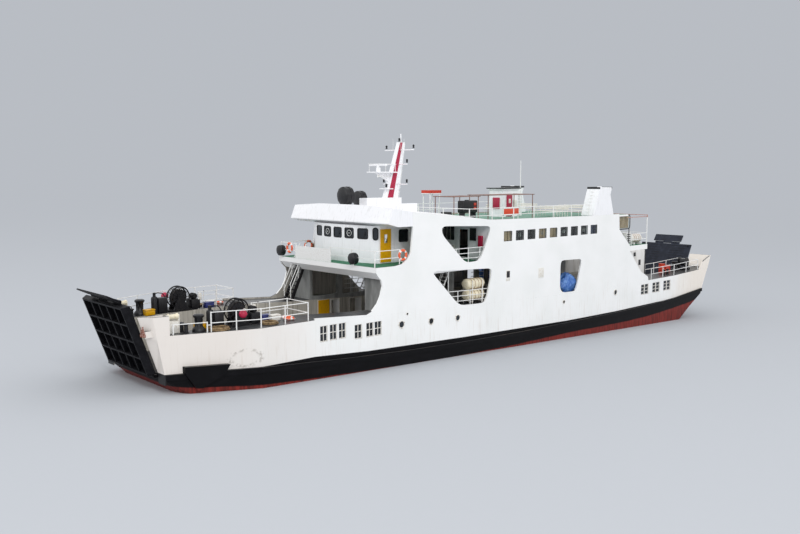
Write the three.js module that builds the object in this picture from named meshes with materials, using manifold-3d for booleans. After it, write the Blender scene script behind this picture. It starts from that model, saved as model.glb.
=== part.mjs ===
// Car ferry at 1:2 scale: a double-ended-loading ferry with a ramp at the bow and one at the stern.
// Every length below is in metres of the full-size ship; the finished group is scaled to millimetres.
// +X aft, +Y to starboard, +Z up. Heights are drawn from the light waterline; the finished group is
// lowered by the sinkage, so its origin is amidships, on the centreline, at the loaded waterline.
import * as THREE from "three";
import { mergeVertices } from "three/addons/utils/BufferGeometryUtils.js";
import Module from "manifold-3d";

const wasm = await Module();
wasm.setup();

const MODEL_MM_PER_METRE = 500;
const SINKAGE = 0.3;

// Running gap between neighbouring pieces
const GAP = 0.001;

// Hull
const HALF_BEAM = 5.2;
const HULL_FRONT_X = -28.45;
const HULL_BACK_X = 27.3;
const KEEL_Z = -2.2;
const LANE_HALF = 2.95;
const CAR_DECK_DROP = 2.15;
const FENDER_HEIGHT = 0.3;
const FENDER_DEPTH = 0.14;

// Superstructure
const PLATE = 0.12;
const SHELL_SPLIT_X = -3.9;
const BRIDGE_FRONT_X = -15.15;
const BRIDGE_DECK_Z = 7.28;
const PASSENGER_DECK_Z = 6.93;
const PASSENGER_DECK_UNDER_Z = 6.5;
const SUN_DECK_Z = 9.66;
const SUN_DECK_THICK = 0.14;
const PLATFORM_BACK_X = 16.9;
const HOUSE_FRONT_X = -4.4;
const HOUSE_BACK_X = 12.1;

// Ramps: hinge, lean from the vertical in degrees, length, half widths and the flap at the top
// The ribbed face is narrower than the plate and stands off it by the foot and head depths
const BOW_RAMP = {
  hingeX: -28.62,
  hingeZ: 2.32,
  lean: -19,
  length: 4.3,
  half: 2.77,
  faceHalf: 2.5,
  footDepth: 0.3,
  headDepth: 0.34,
  flap: 0.85,
  flapHalf: 1.95,
  flapTurn: -45,
};
const STERN_RAMP = {
  hingeX: 27.52,
  hingeZ: 1.78,
  lean: 29,
  length: 4.9,
  half: 2.77,
  faceHalf: 2.5,
  footDepth: 0.28,
  headDepth: 0.28,
  flap: 0.9,
  flapHalf: 1.53,
  flapTurn: 8,
};
const KNUCKLE_R = 0.09;
const KNUCKLE_STEP = 1.8;

// Stern gear
const SHAFT_Y = 2.1;
const SHAFT_Z = -1.5;
const PROPELLER_X = 21.6;
const PROPELLER_R = 0.75;
const RUDDER_X = 22.95;

// Anchor: face of its bolster on the bow, and the height of its crown
const ANCHOR = { x: -29.34, y: -3.08, z: 4.75 };

// Colours
const PAINT = {
  black: 0x15151b,
  white: 0xeeeeee,
  grey: 0x8d8f90,
  deckGreen: 0x2b6b52,
  navy: 0x1c222e,
  yellow: 0xe0a800,
  cream: 0xe4dcc4,
  bronze: 0x9a7436,
  red: 0xb01c30,
};

// Reading at x of a table of x and value, along straight lines
function along(table, x) {
  const last = table.length - 1;
  let i = 1;
  while (i < last && x > table[i][0]) i += 1;
  const [x0, value0] = table[i - 1];
  const [x1, value1] = table[i];
  return value0 + ((value1 - value0) * (x - x0)) / (x1 - x0);
}

// Half width in plan: the sides draw in ahead of the forward gangway
const PLAN = [
  [-29.9, 3.12],
  [-23.5, HALF_BEAM],
  [28.6, HALF_BEAM],
];

// Upper side deck: columns are x and z
const SIDE_DECK = [
  [HULL_FRONT_X, 4.6],
  [-19.9, 4.6],
  [-15.8, 4.33],
  [-7, 4.0],
  [5, 3.66],
  [12, 3.6],
  [22, 3.69],
  [28.5, 3.92],
];

function halfBeam(x) {
  return along(PLAN, x);
}

function sideDeckZ(x) {
  return along(SIDE_DECK, x);
}

function carDeckZ(x) {
  return sideDeckZ(x) - CAR_DECK_DROP;
}

// Height of the border between the black and the white paint, which follows the sheer
function borderZ(x) {
  if (x > 9) return 1.36 + 0.54 * ((x - 9) / 17.2) ** 3;
  const sheer = 1.36 + 1.62 * ((9 - x) / 38.2) ** 2.5;
  const bowLine = 2.44 - 0.0186 * (x + 23.5);
  return Math.min(sheer, bowLine);
}

// Hull sections: station x, keel height, half width of the flat bottom, height where the side turns in
const SECTIONS = [
  [HULL_FRONT_X, 2.05, 2.6, 2.2],
  [-27.6, 1.2, 2.7, 1.6],
  [-26.4, 0, 2.8, 0.8],
  [-23.5, -1.8, 3.3, -0.5],
  [-19.9, KEEL_Z, 3.8, -1.1],
  [-15.8, KEEL_Z, 4.2, -1.2],
  [-7, KEEL_Z, 4.3, -1.3],
  [5, KEEL_Z, 4.3, -1.3],
  [12, KEEL_Z, 4.3, -1.3],
  [16, -2.0, 4.2, -1.2],
  [19, -1.5, 4.1, -1.6],
  [22, -0.5, 4.2, -1.3],
  [25, 0.45, 4.4, 0.4],
  [HULL_BACK_X, 1.35, 4.8, 1.7],
];

// Geometry helpers

function toSolid(geometry) {
  geometry.deleteAttribute("normal");
  geometry.deleteAttribute("uv");
  const merged = mergeVertices(geometry, 1e-6);
  return new wasm.Manifold(
    new wasm.Mesh({
      numProp: 3,
      vertProperties: merged.attributes.position.array,
      triVerts: new Uint32Array(merged.index.array),
    }),
  );
}

function toGeometry(solid) {
  const mesh = solid.getMesh();
  const positions = new Float32Array(mesh.numVert * 3);
  for (let i = 0; i < mesh.numVert; i += 1) {
    positions.set(mesh.vertProperties.subarray(i * mesh.numProp, i * mesh.numProp + 3), i * 3);
  }
  const geometry = new THREE.BufferGeometry();
  geometry.setAttribute("position", new THREE.BufferAttribute(positions, 3));
  geometry.setIndex(new THREE.BufferAttribute(new Uint32Array(mesh.triVerts), 1));
  geometry.computeVertexNormals();
  return geometry;
}

function join(solids) {
  return solids.reduce((whole, piece) => whole.add(piece));
}

function cut(solid, cutters) {
  return cutters.reduce((whole, cutter) => whole.subtract(cutter), solid);
}

function box(x0, x1, y0, y1, z0, z1) {
  const geometry = new THREE.BoxGeometry(x1 - x0, y1 - y0, z1 - z0);
  geometry.translate((x0 + x1) / 2, (y0 + y1) / 2, (z0 + z1) / 2);
  return toSolid(geometry);
}

function outlineShape(points) {
  return new THREE.Shape(points.map(([a, b]) => new THREE.Vector2(a, b)));
}

// Outline with each corner rounded by a quadratic curve
function roundedShape(points, radius, segments = 3) {
  const corners = points.map(([a, b]) => new THREE.Vector2(a, b));
  const outline = [];
  corners.forEach((corner, i) => {
    const before = corners[(i + corners.length - 1) % corners.length];
    const after = corners[(i + 1) % corners.length];
    const back = Math.min(radius, corner.distanceTo(before) / 2.01);
    const forth = Math.min(radius, corner.distanceTo(after) / 2.01);
    const start = corner.clone().lerp(before, back / corner.distanceTo(before));
    const end = corner.clone().lerp(after, forth / corner.distanceTo(after));
    outline.push(...new THREE.QuadraticBezierCurve(start, corner, end).getPoints(segments));
  });
  return new THREE.Shape(outline);
}

function extrude(shape, depth) {
  return new THREE.ExtrudeGeometry(shape, { depth, bevelEnabled: false, curveSegments: 6 });
}

// Outline in X and Z, thick from y0 to y1
function sidePlate(shape, y0, y1) {
  const geometry = extrude(shape, y1 - y0);
  geometry.rotateX(Math.PI / 2);
  geometry.translate(0, y1, 0);
  return toSolid(geometry);
}

// Outline in X and Y, thick from z0 to z1
function deckPlate(shape, z0, z1) {
  const geometry = extrude(shape, z1 - z0);
  geometry.translate(0, 0, z0);
  return toSolid(geometry);
}

// Outline in Y and Z, thick from x0 to x1
function crossPlate(shape, x0, x1) {
  const geometry = extrude(shape, x1 - x0);
  const turn = new THREE.Matrix4().makeBasis(
    new THREE.Vector3(0, 1, 0),
    new THREE.Vector3(0, 0, 1),
    new THREE.Vector3(1, 0, 0),
  );
  geometry.applyMatrix4(turn);
  geometry.translate(x0, 0, 0);
  return toSolid(geometry);
}

// Round or square bar between two points
function bar(from, to, radius, sides = 4, endRadius = radius) {
  const start = new THREE.Vector3(...from);
  const end = new THREE.Vector3(...to);
  const axis = end.clone().sub(start);
  const geometry = new THREE.CylinderGeometry(endRadius, radius, axis.length(), sides);
  geometry.rotateY(Math.PI / sides);
  const up = new THREE.Vector3(0, 1, 0);
  const turn = new THREE.Quaternion().setFromUnitVectors(up, axis.clone().normalize());
  geometry.applyQuaternion(turn);
  const middle = start.add(end).multiplyScalar(0.5);
  geometry.translate(middle.x, middle.y, middle.z);
  return toSolid(geometry);
}

// Rings of like points, anticlockwise as seen from the last ring, joined and capped at both ends
function loft(rings) {
  const count = rings[0].length;
  const positions = rings.flat(2);
  const index = [];
  for (let r = 0; r < rings.length - 1; r += 1) {
    for (let i = 0; i < count; i += 1) {
      const a = r * count + i;
      const b = r * count + ((i + 1) % count);
      index.push(a, b, b + count, a, b + count, a + count);
    }
  }
  const end = (rings.length - 1) * count;
  for (let i = 1; i < count - 1; i += 1) {
    index.push(0, i + 1, i);
    index.push(end, end + i, end + i + 1);
  }
  const geometry = new THREE.BufferGeometry();
  geometry.setAttribute("position", new THREE.BufferAttribute(new Float32Array(positions), 3));
  geometry.setIndex(index);
  return toSolid(geometry);
}

const RAIL_HEIGHTS = [0.5, 1.0];

// Posts with rails at the given heights along a line of deck points
function railing(points, heights, spacing = 2.3, radius = 0.035) {
  const pieces = [];
  const top = heights[heights.length - 1];
  points.forEach(([x, y, z], i) => {
    pieces.push(bar([x, y, z], [x, y, z + top + radius], radius));
    if (i === points.length - 1) return;
    const [x1, y1, z1] = points[i + 1];
    const run = Math.hypot(x1 - x, y1 - y);
    const posts = Math.max(1, Math.round(run / spacing));
    for (let k = 1; k < posts; k += 1) {
      const t = k / posts;
      const foot = [x + (x1 - x) * t, y + (y1 - y) * t, z + (z1 - z) * t];
      pieces.push(bar(foot, [foot[0], foot[1], foot[2] + top], radius));
    }
    heights.forEach((height) => {
      pieces.push(bar([x, y, z + height], [x1, y1, z1 + height], radius * 0.8));
    });
  });
  return join(pieces);
}

// Hull, side casings and bow

function hull() {
  const rings = SECTIONS.map(([x, keel, flat, turn]) => {
    const deck = carDeckZ(x);
    const half = halfBeam(x);
    const bilgeY = (flat + half) / 2 + 0.18;
    const bilgeZ = (keel + turn) / 2 - 0.1 * (turn - keel);
    return [
      [x, -half, deck],
      [x, -half, turn],
      [x, -bilgeY, bilgeZ],
      [x, -flat, keel],
      [x, flat, keel],
      [x, bilgeY, bilgeZ],
      [x, half, turn],
      [x, half, deck],
    ];
  });
  const pieces = [loft(rings)];
  [-1, 1].forEach((side) => {
    pieces.push(skeg(side));
    pieces.push(bar([RUDDER_X, side * SHAFT_Y, 0.5], [RUDDER_X, side * SHAFT_Y, -0.3], 0.2, 10));
  });
  pieces.push(...hingeLugs(BOW_RAMP, HULL_FRONT_X + 0.05, 0));
  pieces.push(...hingeLugs(STERN_RAMP, HULL_BACK_X - 0.05, 0));
  return join(pieces);
}

function skeg(side) {
  const outline = outlineShape([
    [11, KEEL_Z + 0.1],
    [20.7, SHAFT_Z + 0.12],
    [20.7, SHAFT_Z - 0.12],
    [14, KEEL_Z - 0.12],
  ].reverse());
  const fin = sidePlate(outline, side * SHAFT_Y - 0.07, side * SHAFT_Y + 0.07);
  const web = sidePlate(outlineShape([
    [18, -1.5],
    [20.6, -1.5],
    [20.6, -0.7],
    [18.2, -1.2],
  ]), side * SHAFT_Y - 0.07, side * SHAFT_Y + 0.07);
  const tubeEnd = PROPELLER_X - 0.25 - GAP;
  const tube = bar([18, side * SHAFT_Y, SHAFT_Z], [tubeEnd, side * SHAFT_Y, SHAFT_Z], 0.16, 10);
  return join([fin, web, tube]);
}

// Knuckle positions across a ramp: first set on the hull, second set on the ramp
function knuckleSpans(half, set) {
  const spans = [];
  let i = 0;
  for (let y = -half + 0.1; y + KNUCKLE_STEP / 2 < half; y += KNUCKLE_STEP / 2) {
    if (i % 2 === set) spans.push([y + GAP / 2, y + (KNUCKLE_STEP - GAP) / 2]);
    i += 1;
  }
  return spans;
}

function hingeLugs(ramp, rootX, set) {
  return knuckleSpans(ramp.half, set).map(([y0, y1]) => {
    const barrel = bar([ramp.hingeX, y0, ramp.hingeZ], [ramp.hingeX, y1, ramp.hingeZ], KNUCKLE_R, 10);
    const x0 = Math.min(ramp.hingeX, rootX);
    const x1 = Math.max(ramp.hingeX, rootX);
    return join([barrel, box(x0, x1, y0, y1, ramp.hingeZ - 0.06, ramp.hingeZ + 0.06)]);
  });
}

// Everything inside the ship's plan, widened by an offset
function planPrism(offset) {
  const back = PLAN[PLAN.length - 1][0];
  const front = PLAN[0][0];
  const side = PLAN.map(([x, half]) => [x, -half - offset]);
  return deckPlate(outlineShape([...side, [back, 1], [front, 1]]), KEEL_Z, SUN_DECK_Z);
}

const FENDER_STATIONS = [-28.45, -23.5, -22, -17, -12, -6, 0, 9, 14, 18, 22, HULL_BACK_X];
const BOW_PAD_DEPTH = 0.3;

function fender() {
  const rubbingStrake = loft(FENDER_STATIONS.map((x) => {
    const inner = -halfBeam(x) - GAP;
    const outer = inner - FENDER_DEPTH;
    const top = borderZ(x);
    const foot = top - FENDER_HEIGHT;
    return [
      [x, inner, foot],
      [x, inner, top],
      [x, outer, top],
      [x, outer, foot],
    ];
  }));
  const bowPad = sidePlate(outlineShape([
    [-27.64, 2.9],
    [-27.63, 2.55],
    [-27.0, 1.55],
    [-25.62, 2.35],
    [-25.35, 2.84],
  ]), -HALF_BEAM, 0);
  const padDepth = planPrism(BOW_PAD_DEPTH).subtract(planPrism(GAP));
  return join([rubbingStrake, bowPad.intersect(padDepth)]);
}

// Small windows cut in the casing side: left edge, width, sill and head height
const CASING_WINDOWS = [
  [-19.52, 0.55, 3.25, 4.2],
  [-18.8, 0.55, 3.25, 4.2],
  [-18.12, 0.55, 3.25, 4.2],
  [-16.9, 0.6, 3.05, 3.95],
  [-15.97, 0.6, 3.05, 3.95],
  [-15.29, 0.6, 3.05, 3.95],
  [16.1, 1.3, 2.43, 3.35],
  [18.05, 1.3, 2.43, 3.35],
  [20.0, 1.3, 2.43, 3.35],
];
const CASING_DOORS = [
  { x: -13.45, width: 0.9 },
  { x: -12.3, width: 0.7 },
  { x: -10.6, width: 1.1 },
];
const DOOR_HEIGHT = 1.9;
const DOOR_SILL = 0.12;

// How far a door leaf laps over the wall round its opening
const DOOR_LAP = 0.05;

function sideCasing() {
  const lower = SECTIONS.map(([x]) => [x, carDeckZ(x) + GAP]);
  const upper = SIDE_DECK.map(([x, z]) => [x, z]).reverse();
  const slab = sidePlate(outlineShape([...lower, ...upper]), -HALF_BEAM, -LANE_HALF);
  const windows = CASING_WINDOWS.map(([left, width, sill, head]) => {
    return box(left, left + width, -HALF_BEAM - 0.1, -HALF_BEAM + PLATE, sill, head);
  });
  const doorways = CASING_DOORS.map(({ x, width }) => {
    const floor = carDeckZ(x) + DOOR_SILL;
    return box(x, x + width, -LANE_HALF - 0.7, -LANE_HALF + 0.1, floor, floor + DOOR_HEIGHT);
  });
  return cut(slab.intersect(planPrism(0)), [...windows, ...doorways]);
}

// Slanted bow face at a few heights: z, x at the ramp's side, x at the ship's side
const SHOULDER_LEVELS = [
  [1.95, -28.5, -28.5],
  [2.52, -28.52, -28.52],
  [4.4, -29.15, -28.82],
  [5.62, -29.57, -29.0],
];
const SHOULDER_INNER_Y = -BOW_RAMP.half - 0.04;
const SHOULDER_BACK_X = -28.2;
const SHOULDER_PLATE = 0.14;

function shoulderWedge(shift, aft, inset) {
  const inner = SHOULDER_INNER_Y - inset;
  const rings = SHOULDER_LEVELS.map(([z, innerX, outerX]) => [
    [outerX + shift, -halfBeam(outerX) + inset, z],
    [aft, -halfBeam(aft) + inset, z],
    [aft, inner, z],
    [innerX + shift, inner, z],
  ]);
  return loft(rings);
}

// Solid foot below the deck, and a box of plate above it that is open at the top and behind
function bowShoulder() {
  const above = sideDeckZ(SHOULDER_BACK_X) + GAP;
  const foot = shoulderWedge(0, HULL_FRONT_X - GAP, 0);
  const upper = shoulderWedge(0, SHOULDER_BACK_X, 0).intersect(box(-31, -28, -HALF_BEAM, 0, above, 7));
  const space = shoulderWedge(SHOULDER_PLATE, SHOULDER_BACK_X + 1, PLATE);
  const inside = space.intersect(box(-31, -27, -HALF_BEAM, 0, above + 0.02, 7));
  const { x, y, z } = ANCHOR;
  const bolster = box(x, x + 0.5, y - 0.15, y + 0.15, z - 0.2, z + 0.15);
  return join([join([foot, upper]).subtract(inside), bolster]);
}

// Superstructure

const FORWARD_TOP = [
  [-12.0, 10.64],
  [-6.5, 10.11],
  [-4.6, 9.89],
  [SHELL_SPLIT_X, 9.86],
];

function shellForward() {
  const foot = [-19.88, -15.8, -7, SHELL_SPLIT_X].map((x) => [x, sideDeckZ(x) + GAP]);
  const top = FORWARD_TOP.map(([x, z]) => [x, z]).reverse();
  const outline = [
    ...foot,
    ...top,
    [-12.0, 9.6],
    [-12.17, 8.08],
    [-12.45, 7.65],
    [-12.9, 7.38],
    [-13.6, BRIDGE_DECK_Z],
    [BRIDGE_FRONT_X, BRIDGE_DECK_Z],
    [BRIDGE_FRONT_X, 6.95],
    [-14.95, 6.68],
    [-14.72, 6.45],
    [-14.62, 6.1],
    [-14.8, 5.5],
    [-15.05, 5.05],
    [-15.5, 4.62],
    [-15.95, 4.45],
    [-19.88, 4.72],
  ];
  const triangle = roundedShape([
    [-9.35, 9.62],
    [-9.3, 9.05],
    [-7.0, 7.02],
    [-5.7, 7.05],
    [-5.25, 7.4],
    [-4.3, 9.42],
  ].reverse(), 0.45);
  const trapezoid = roundedShape([
    [-10.3, 6.66],
    [-7.6, 4.12],
    [-5.1, 4.02],
    [-4.72, 4.3],
    [-4.12, 6.42],
  ].reverse(), 0.5);
  const plate = sidePlate(outlineShape(outline), -HALF_BEAM, -HALF_BEAM + PLATE);
  return cut(plate, [
    sidePlate(triangle, -HALF_BEAM - 1, -HALF_BEAM + 1),
    sidePlate(trapezoid, -HALF_BEAM - 1, -HALF_BEAM + 1),
  ]);
}

const SIDE_WINDOWS = { x: -2.94, pitch: 1.367, count: 9, width: 0.95, sill: 8.25, head: 8.98 };

function shellAft() {
  const foot = [SHELL_SPLIT_X + GAP, 5, 12, 17.3].map((x) => [x, sideDeckZ(x) + GAP]);
  const outline = [
    ...foot,
    [17.2, 3.98],
    [15.98, 4.56],
    [15.1, 5.42],
    [14.07, PASSENGER_DECK_UNDER_Z],
    [14.07, PASSENGER_DECK_Z],
    [12.3, 8.41],
    [12.2, 9.73],
    [8.4, 9.73],
    [SHELL_SPLIT_X + GAP, 9.86],
  ];
  const { x, pitch, count, width, sill, head } = SIDE_WINDOWS;
  const windows = Array.from({ length: count }, (_, i) => {
    const left = x + i * pitch;
    return box(left, left + width, -HALF_BEAM - 1, -HALF_BEAM + 1, sill, head);
  });
  const opening = roundedShape([
    [4.0, 6.38],
    [3.98, 4.2],
    [4.32, 3.82],
    [6.05, 3.78],
    [6.3, 4.2],
    [6.88, 6.32],
  ].reverse(), 0.4);
  const plate = sidePlate(outlineShape(outline), -HALF_BEAM, -HALF_BEAM + PLATE);
  return cut(plate, [...windows, sidePlate(opening, -HALF_BEAM - 1, -HALF_BEAM + 1)]);
}

const GALLERY_FRONT_X = -14.15;
const GALLERY_BACK_X = 15.6;
const LANE_WALL_BACK_X = 20.2;
const LANE_WALL_BACK_Z = 6.1;
const GALLERY_BAY = 2.7;
const GALLERY_PILLAR = 0.5;

function galleryWall() {
  const xs = [GALLERY_FRONT_X, -7, 5, 12, LANE_WALL_BACK_X];
  const foot = xs.map((x) => [x, sideDeckZ(x) + GAP]);
  const head = PASSENGER_DECK_UNDER_Z - GAP;
  const outline = [
    ...foot,
    [LANE_WALL_BACK_X, LANE_WALL_BACK_Z],
    [PLATFORM_BACK_X + 0.3, LANE_WALL_BACK_Z],
    [PLATFORM_BACK_X - 0.1, head],
    [GALLERY_FRONT_X, head],
  ];
  const plate = sidePlate(outlineShape(outline), -LANE_HALF - PLATE, -LANE_HALF);
  const bays = [];
  for (let x = GALLERY_FRONT_X + 0.2; x + GALLERY_BAY < GALLERY_BACK_X; x += GALLERY_BAY) {
    const right = x + GALLERY_BAY - GALLERY_PILLAR;
    const sill = sideDeckZ(x) + 0.25;
    const lintel = PASSENGER_DECK_UNDER_Z - 0.15;
    bays.push(sidePlate(roundedShape([
      [x, sill],
      [right, sill],
      [right, lintel],
      [x, lintel],
    ], 0.2), -LANE_HALF - 1, -LANE_HALF + 1));
  }
  return cut(plate, bays);
}

function galleryBulkhead() {
  const x = GALLERY_FRONT_X;
  const foot = sideDeckZ(x + PLATE) + 0.02;
  const outer = -HALF_BEAM + PLATE + GAP;
  const inner = -LANE_HALF - PLATE - GAP;
  return box(x, x + PLATE, outer, inner, foot, PASSENGER_DECK_UNDER_Z - GAP);
}

const PLATFORM_FRONT_X = 14.07 + GAP;

// Ladder from the starboard side deck through a hatch to the bridge deck
const STAIRS = { footX: -15.7, headX: -14.25, y0: 3.2, y1: 3.95, steps: 11 };
const HATCH_FRONT_X = -15.0;

function passengerDeck() {
  const outline = outlineShape([
    [BRIDGE_FRONT_X, 6.95],
    [-14.7, PASSENGER_DECK_UNDER_Z],
    [PLATFORM_BACK_X, PASSENGER_DECK_UNDER_Z],
    [PLATFORM_BACK_X, PASSENGER_DECK_Z],
    [-8.2, PASSENGER_DECK_Z],
    [-9.2, BRIDGE_DECK_Z],
    [BRIDGE_FRONT_X, BRIDGE_DECK_Z],
  ]);
  const inner = HALF_BEAM - PLATE - GAP;
  const deck = sidePlate(outline, -inner, inner);
  const platform = box(
    PLATFORM_FRONT_X, PLATFORM_BACK_X, -HALF_BEAM, HALF_BEAM, PASSENGER_DECK_UNDER_Z, PASSENGER_DECK_Z,
  );
  const { headX, y0, y1 } = STAIRS;
  const hatch = box(HATCH_FRONT_X, headX + 0.1, y0 - 0.08, y1 + 0.08, PASSENGER_DECK_UNDER_Z - 1, 8);
  return cut(join([deck, platform]), [hatch]);
}

// Wheelhouse plan on its front side: x and y of the wall's corners, starboard half
const WHEELHOUSE_PLAN = [
  [-14.0, 0.65],
  [-13.9, 1.75],
  [-13.6, 2.95],
  [-13.35, 3.45],
];
const WHEELHOUSE_HALF = 3.45;
const WHEELHOUSE_BACK_X = -9.4;
const WHEELHOUSE_TOP_Z = 9.72;
const BRIDGE_DOOR = { x: -13.2, width: 0.8, height: 2.05 };

function wheelhouseOutline(inset) {
  const starboard = WHEELHOUSE_PLAN.map(([x, y]) => [x + inset, y - inset * (y > 3 ? 1 : 0.4)]);
  const port = starboard.map(([x, y]) => [x, -y]).reverse();
  const side = WHEELHOUSE_HALF - inset;
  const back = WHEELHOUSE_BACK_X - inset;
  return [[back, side], ...starboard.reverse(), ...port.reverse(), [back, -side]];
}

const BRIDGE_WINDOWS = [-2.3, -1.15, 0, 1.15, 2.3];

function wheelhouse() {
  const floor = BRIDGE_DECK_Z + GAP;
  const body = deckPlate(outlineShape(wheelhouseOutline(0)), floor, WHEELHOUSE_TOP_Z);
  const room = deckPlate(outlineShape(wheelhouseOutline(PLATE)), floor - 1, WHEELHOUSE_TOP_Z - PLATE);
  const windows = BRIDGE_WINDOWS.map((y) => {
    const shape = roundedShape([
      [y - 0.4, 8.85],
      [y + 0.4, 8.85],
      [y + 0.44, 9.52],
      [y - 0.44, 9.52],
    ], 0.1, 2);
    return crossPlate(shape, -16, -13);
  });
  const sideWindows = [-11.6, -10.4].map((x) => box(x, x + 0.8, -5, 5, 8.6, 9.4));
  const { x, width, height } = BRIDGE_DOOR;
  const sill = floor + DOOR_SILL;
  const doors = box(x, x + width, -5, 5, sill, sill + height);
  const backDoor = box(WHEELHOUSE_BACK_X - 1, WHEELHOUSE_BACK_X + 1, -0.4, 0.4, sill, floor + height);
  return cut(body, [room, ...windows, ...sideWindows, doors, backDoor]);
}

function bridgeDoor() {
  const { x, width, height } = BRIDGE_DOOR;
  const z = BRIDGE_DECK_Z + DOOR_SILL;
  const wall = -WHEELHOUSE_HALF - GAP;
  const head = z + height + DOOR_LAP;
  const leaf = box(x - DOOR_LAP, x + width + DOOR_LAP, wall - 0.05, wall, z - DOOR_LAP, head);
  const light = box(x + 0.25, x + width - 0.25, -4, -3, z + 1.2, z + 1.75);
  const handle = box(x + width - 0.2, x + width - 0.08, -3.56, -3.49, z + 0.95, z + 1.0);
  return join([leaf.subtract(light), handle]);
}

function casingDoor() {
  const { x, width } = CASING_DOORS[0];
  const z = carDeckZ(x) + DOOR_SILL;
  const wall = -LANE_HALF + GAP;
  const head = z + DOOR_HEIGHT + DOOR_LAP;
  const leaf = box(x - DOOR_LAP, x + width + DOOR_LAP, wall, wall + 0.05, z - DOOR_LAP, head);
  const handle = box(x + width - 0.2, x + width - 0.08, wall + 0.04, wall + 0.11, z + 0.95, z + 1.0);
  return join([leaf, handle]);
}

// Low bulwark across the bridge front with an open railing at each end and along both wings
function bridgeFrontRail() {
  const x = BRIDGE_FRONT_X + 0.06;
  const z = BRIDGE_DECK_Z + GAP;
  const panel = box(x - 0.03, x + 0.03, -0.6, 3.3, z, z + 0.86);
  const wing = HALF_BEAM - 0.2;
  const rail = railing([
    [-13.0, wing, z],
    [x, wing, z],
    [x, 3.25, z],
  ], RAIL_HEIGHTS);
  const portRail = railing([
    [x, -0.55, z],
    [x, -wing, z],
    [-13.0, -wing, z],
  ], RAIL_HEIGHTS);
  return join([panel, rail, portRail]);
}

function houseBulkhead(x, doorY) {
  const inner = HALF_BEAM - PLATE - GAP;
  const head = SUN_DECK_Z - SUN_DECK_THICK - GAP;
  const wall = box(x, x + PLATE, -inner, inner, PASSENGER_DECK_Z + GAP, head);
  const sill = PASSENGER_DECK_Z + DOOR_SILL;
  const doors = [-doorY, doorY].map((y) => box(x - 1, x + 1, y - 0.45, y + 0.45, sill, sill + 2.03));
  return cut(wall, doors);
}

// Cambered roof over the wheelhouse with a deep fascia that leans back at the front
const ROOF_BACK_X = -6.6;
const ROOF_UNDER_Z = WHEELHOUSE_TOP_Z + GAP;
const ROOF_CAMBER = 0.2;
const MAST_STEP_Z = 10.86;

// Roof stations: x, underside height, height of the top at the side
const ROOF_STATIONS = [
  [-14.1, 9.93, 9.99],
  [-13.72, 9.84, 10.88],
  [-13.3, ROOF_UNDER_Z, 10.84],
  [-12.0, ROOF_UNDER_Z, 10.64],
  [-9, ROOF_UNDER_Z, 10.34],
  [ROOF_BACK_X, ROOF_UNDER_Z, 10.12],
];

function roofRing(x, under, top, half) {
  const camber = top - under > 0.3 ? ROOF_CAMBER : 0;
  return [
    [x, -half, under],
    [x, half, under],
    [x, half, top],
    [x, half * 0.45, top + camber * 0.85],
    [x, -half * 0.45, top + camber * 0.85],
    [x, -half, top],
  ];
}

// Covered search lamps on the bridge roof: middle and radius
const ROOF_LAMPS = [
  [-13.0, 0.35, 11.6, 0.58],
  [-11.09, 1.15, 11.36, 0.5],
];

function bridgeRoof() {
  const inner = HALF_BEAM - PLATE - GAP;
  const shellFront = FORWARD_TOP[0][0];
  const front = ROOF_STATIONS.filter(([x]) => x <= shellFront).map(([x, under, top]) => {
    return roofRing(Math.min(x, shellFront - GAP), under, top, HALF_BEAM);
  });
  const aft = ROOF_STATIONS.slice(2).map(([x, under, top]) => roofRing(x, under, top, inner));
  const mastStep = box(-11.9, -8.2, -0.55, 0.55, 10.3, MAST_STEP_Z);
  const locker = box(-10.14, -8.8, -2.3, -1.8, 10.3, 11.05);
  const lamps = ROOF_LAMPS.map(([x, y, z, radius]) => {
    return join([
      bar([x, y, 10.4], [x, y, z - radius * 0.7], 0.07, 8),
      bar([x - 0.28, y, z], [x + 0.28, y, z], radius * 0.85, 12, radius),
    ]);
  });
  return join([loft(front), loft(aft), mastStep, locker, ...lamps]);
}

function sunDeck() {
  const inner = HALF_BEAM - PLATE - GAP;
  const slab = box(ROOF_BACK_X + GAP, 13.6, -inner, inner, SUN_DECK_Z - SUN_DECK_THICK, SUN_DECK_Z);
  const roofEdge = box(12.22, 13.6, -HALF_BEAM, HALF_BEAM, SUN_DECK_Z - SUN_DECK_THICK, SUN_DECK_Z);
  return join([slab, roofEdge]);
}

// Stern bulwarks: raked plates each side of the ramp opening
const TRANSOM_TOP = [29.1, 5.12];

function sternBulwark() {
  const deck = sideDeckZ(28.5);
  const face = sidePlate(outlineShape([
    [28.52, deck + GAP],
    [28.42, deck + GAP + 0.06],
    [TRANSOM_TOP[0] - PLATE, TRANSOM_TOP[1]],
    [TRANSOM_TOP[0], TRANSOM_TOP[1]],
  ].reverse()), -HALF_BEAM, -LANE_HALF - 0.1);
  const side = sidePlate(outlineShape([
    [26.8, sideDeckZ(26.8) + GAP],
    [28.5, deck + GAP],
    [TRANSOM_TOP[0], TRANSOM_TOP[1]],
    [28.3, TRANSOM_TOP[1] - 0.25],
    [27.5, 4.6],
  ]), -HALF_BEAM, -HALF_BEAM + PLATE);
  return join([face, side]);
}

// Open frame with posts and rails round the after end of the passenger deck
function aftGallery() {
  const z = PASSENGER_DECK_Z + GAP;
  const y = HALF_BEAM - 0.06;
  const x = PLATFORM_BACK_X - 0.06;
  const top = 9.5;
  const front = 14.3;
  const rails = railing([[front, -y, z], [x, -y, z], [x, y, z], [front, y, z]], RAIL_HEIGHTS);
  const uprights = [-y, -1.7, 1.7, y].map((across) => bar([x, across, z], [x, across, top + 0.04], 0.05));
  const header = bar([x, -y, top], [x, y, top], 0.042);
  const beamZ = top - 0.12;
  const beams = [-y, y].map((across) => bar([13.75, across, beamZ], [x, across, beamZ], 0.04));
  return join([rails, ...uprights, header, ...beams]);
}

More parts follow.
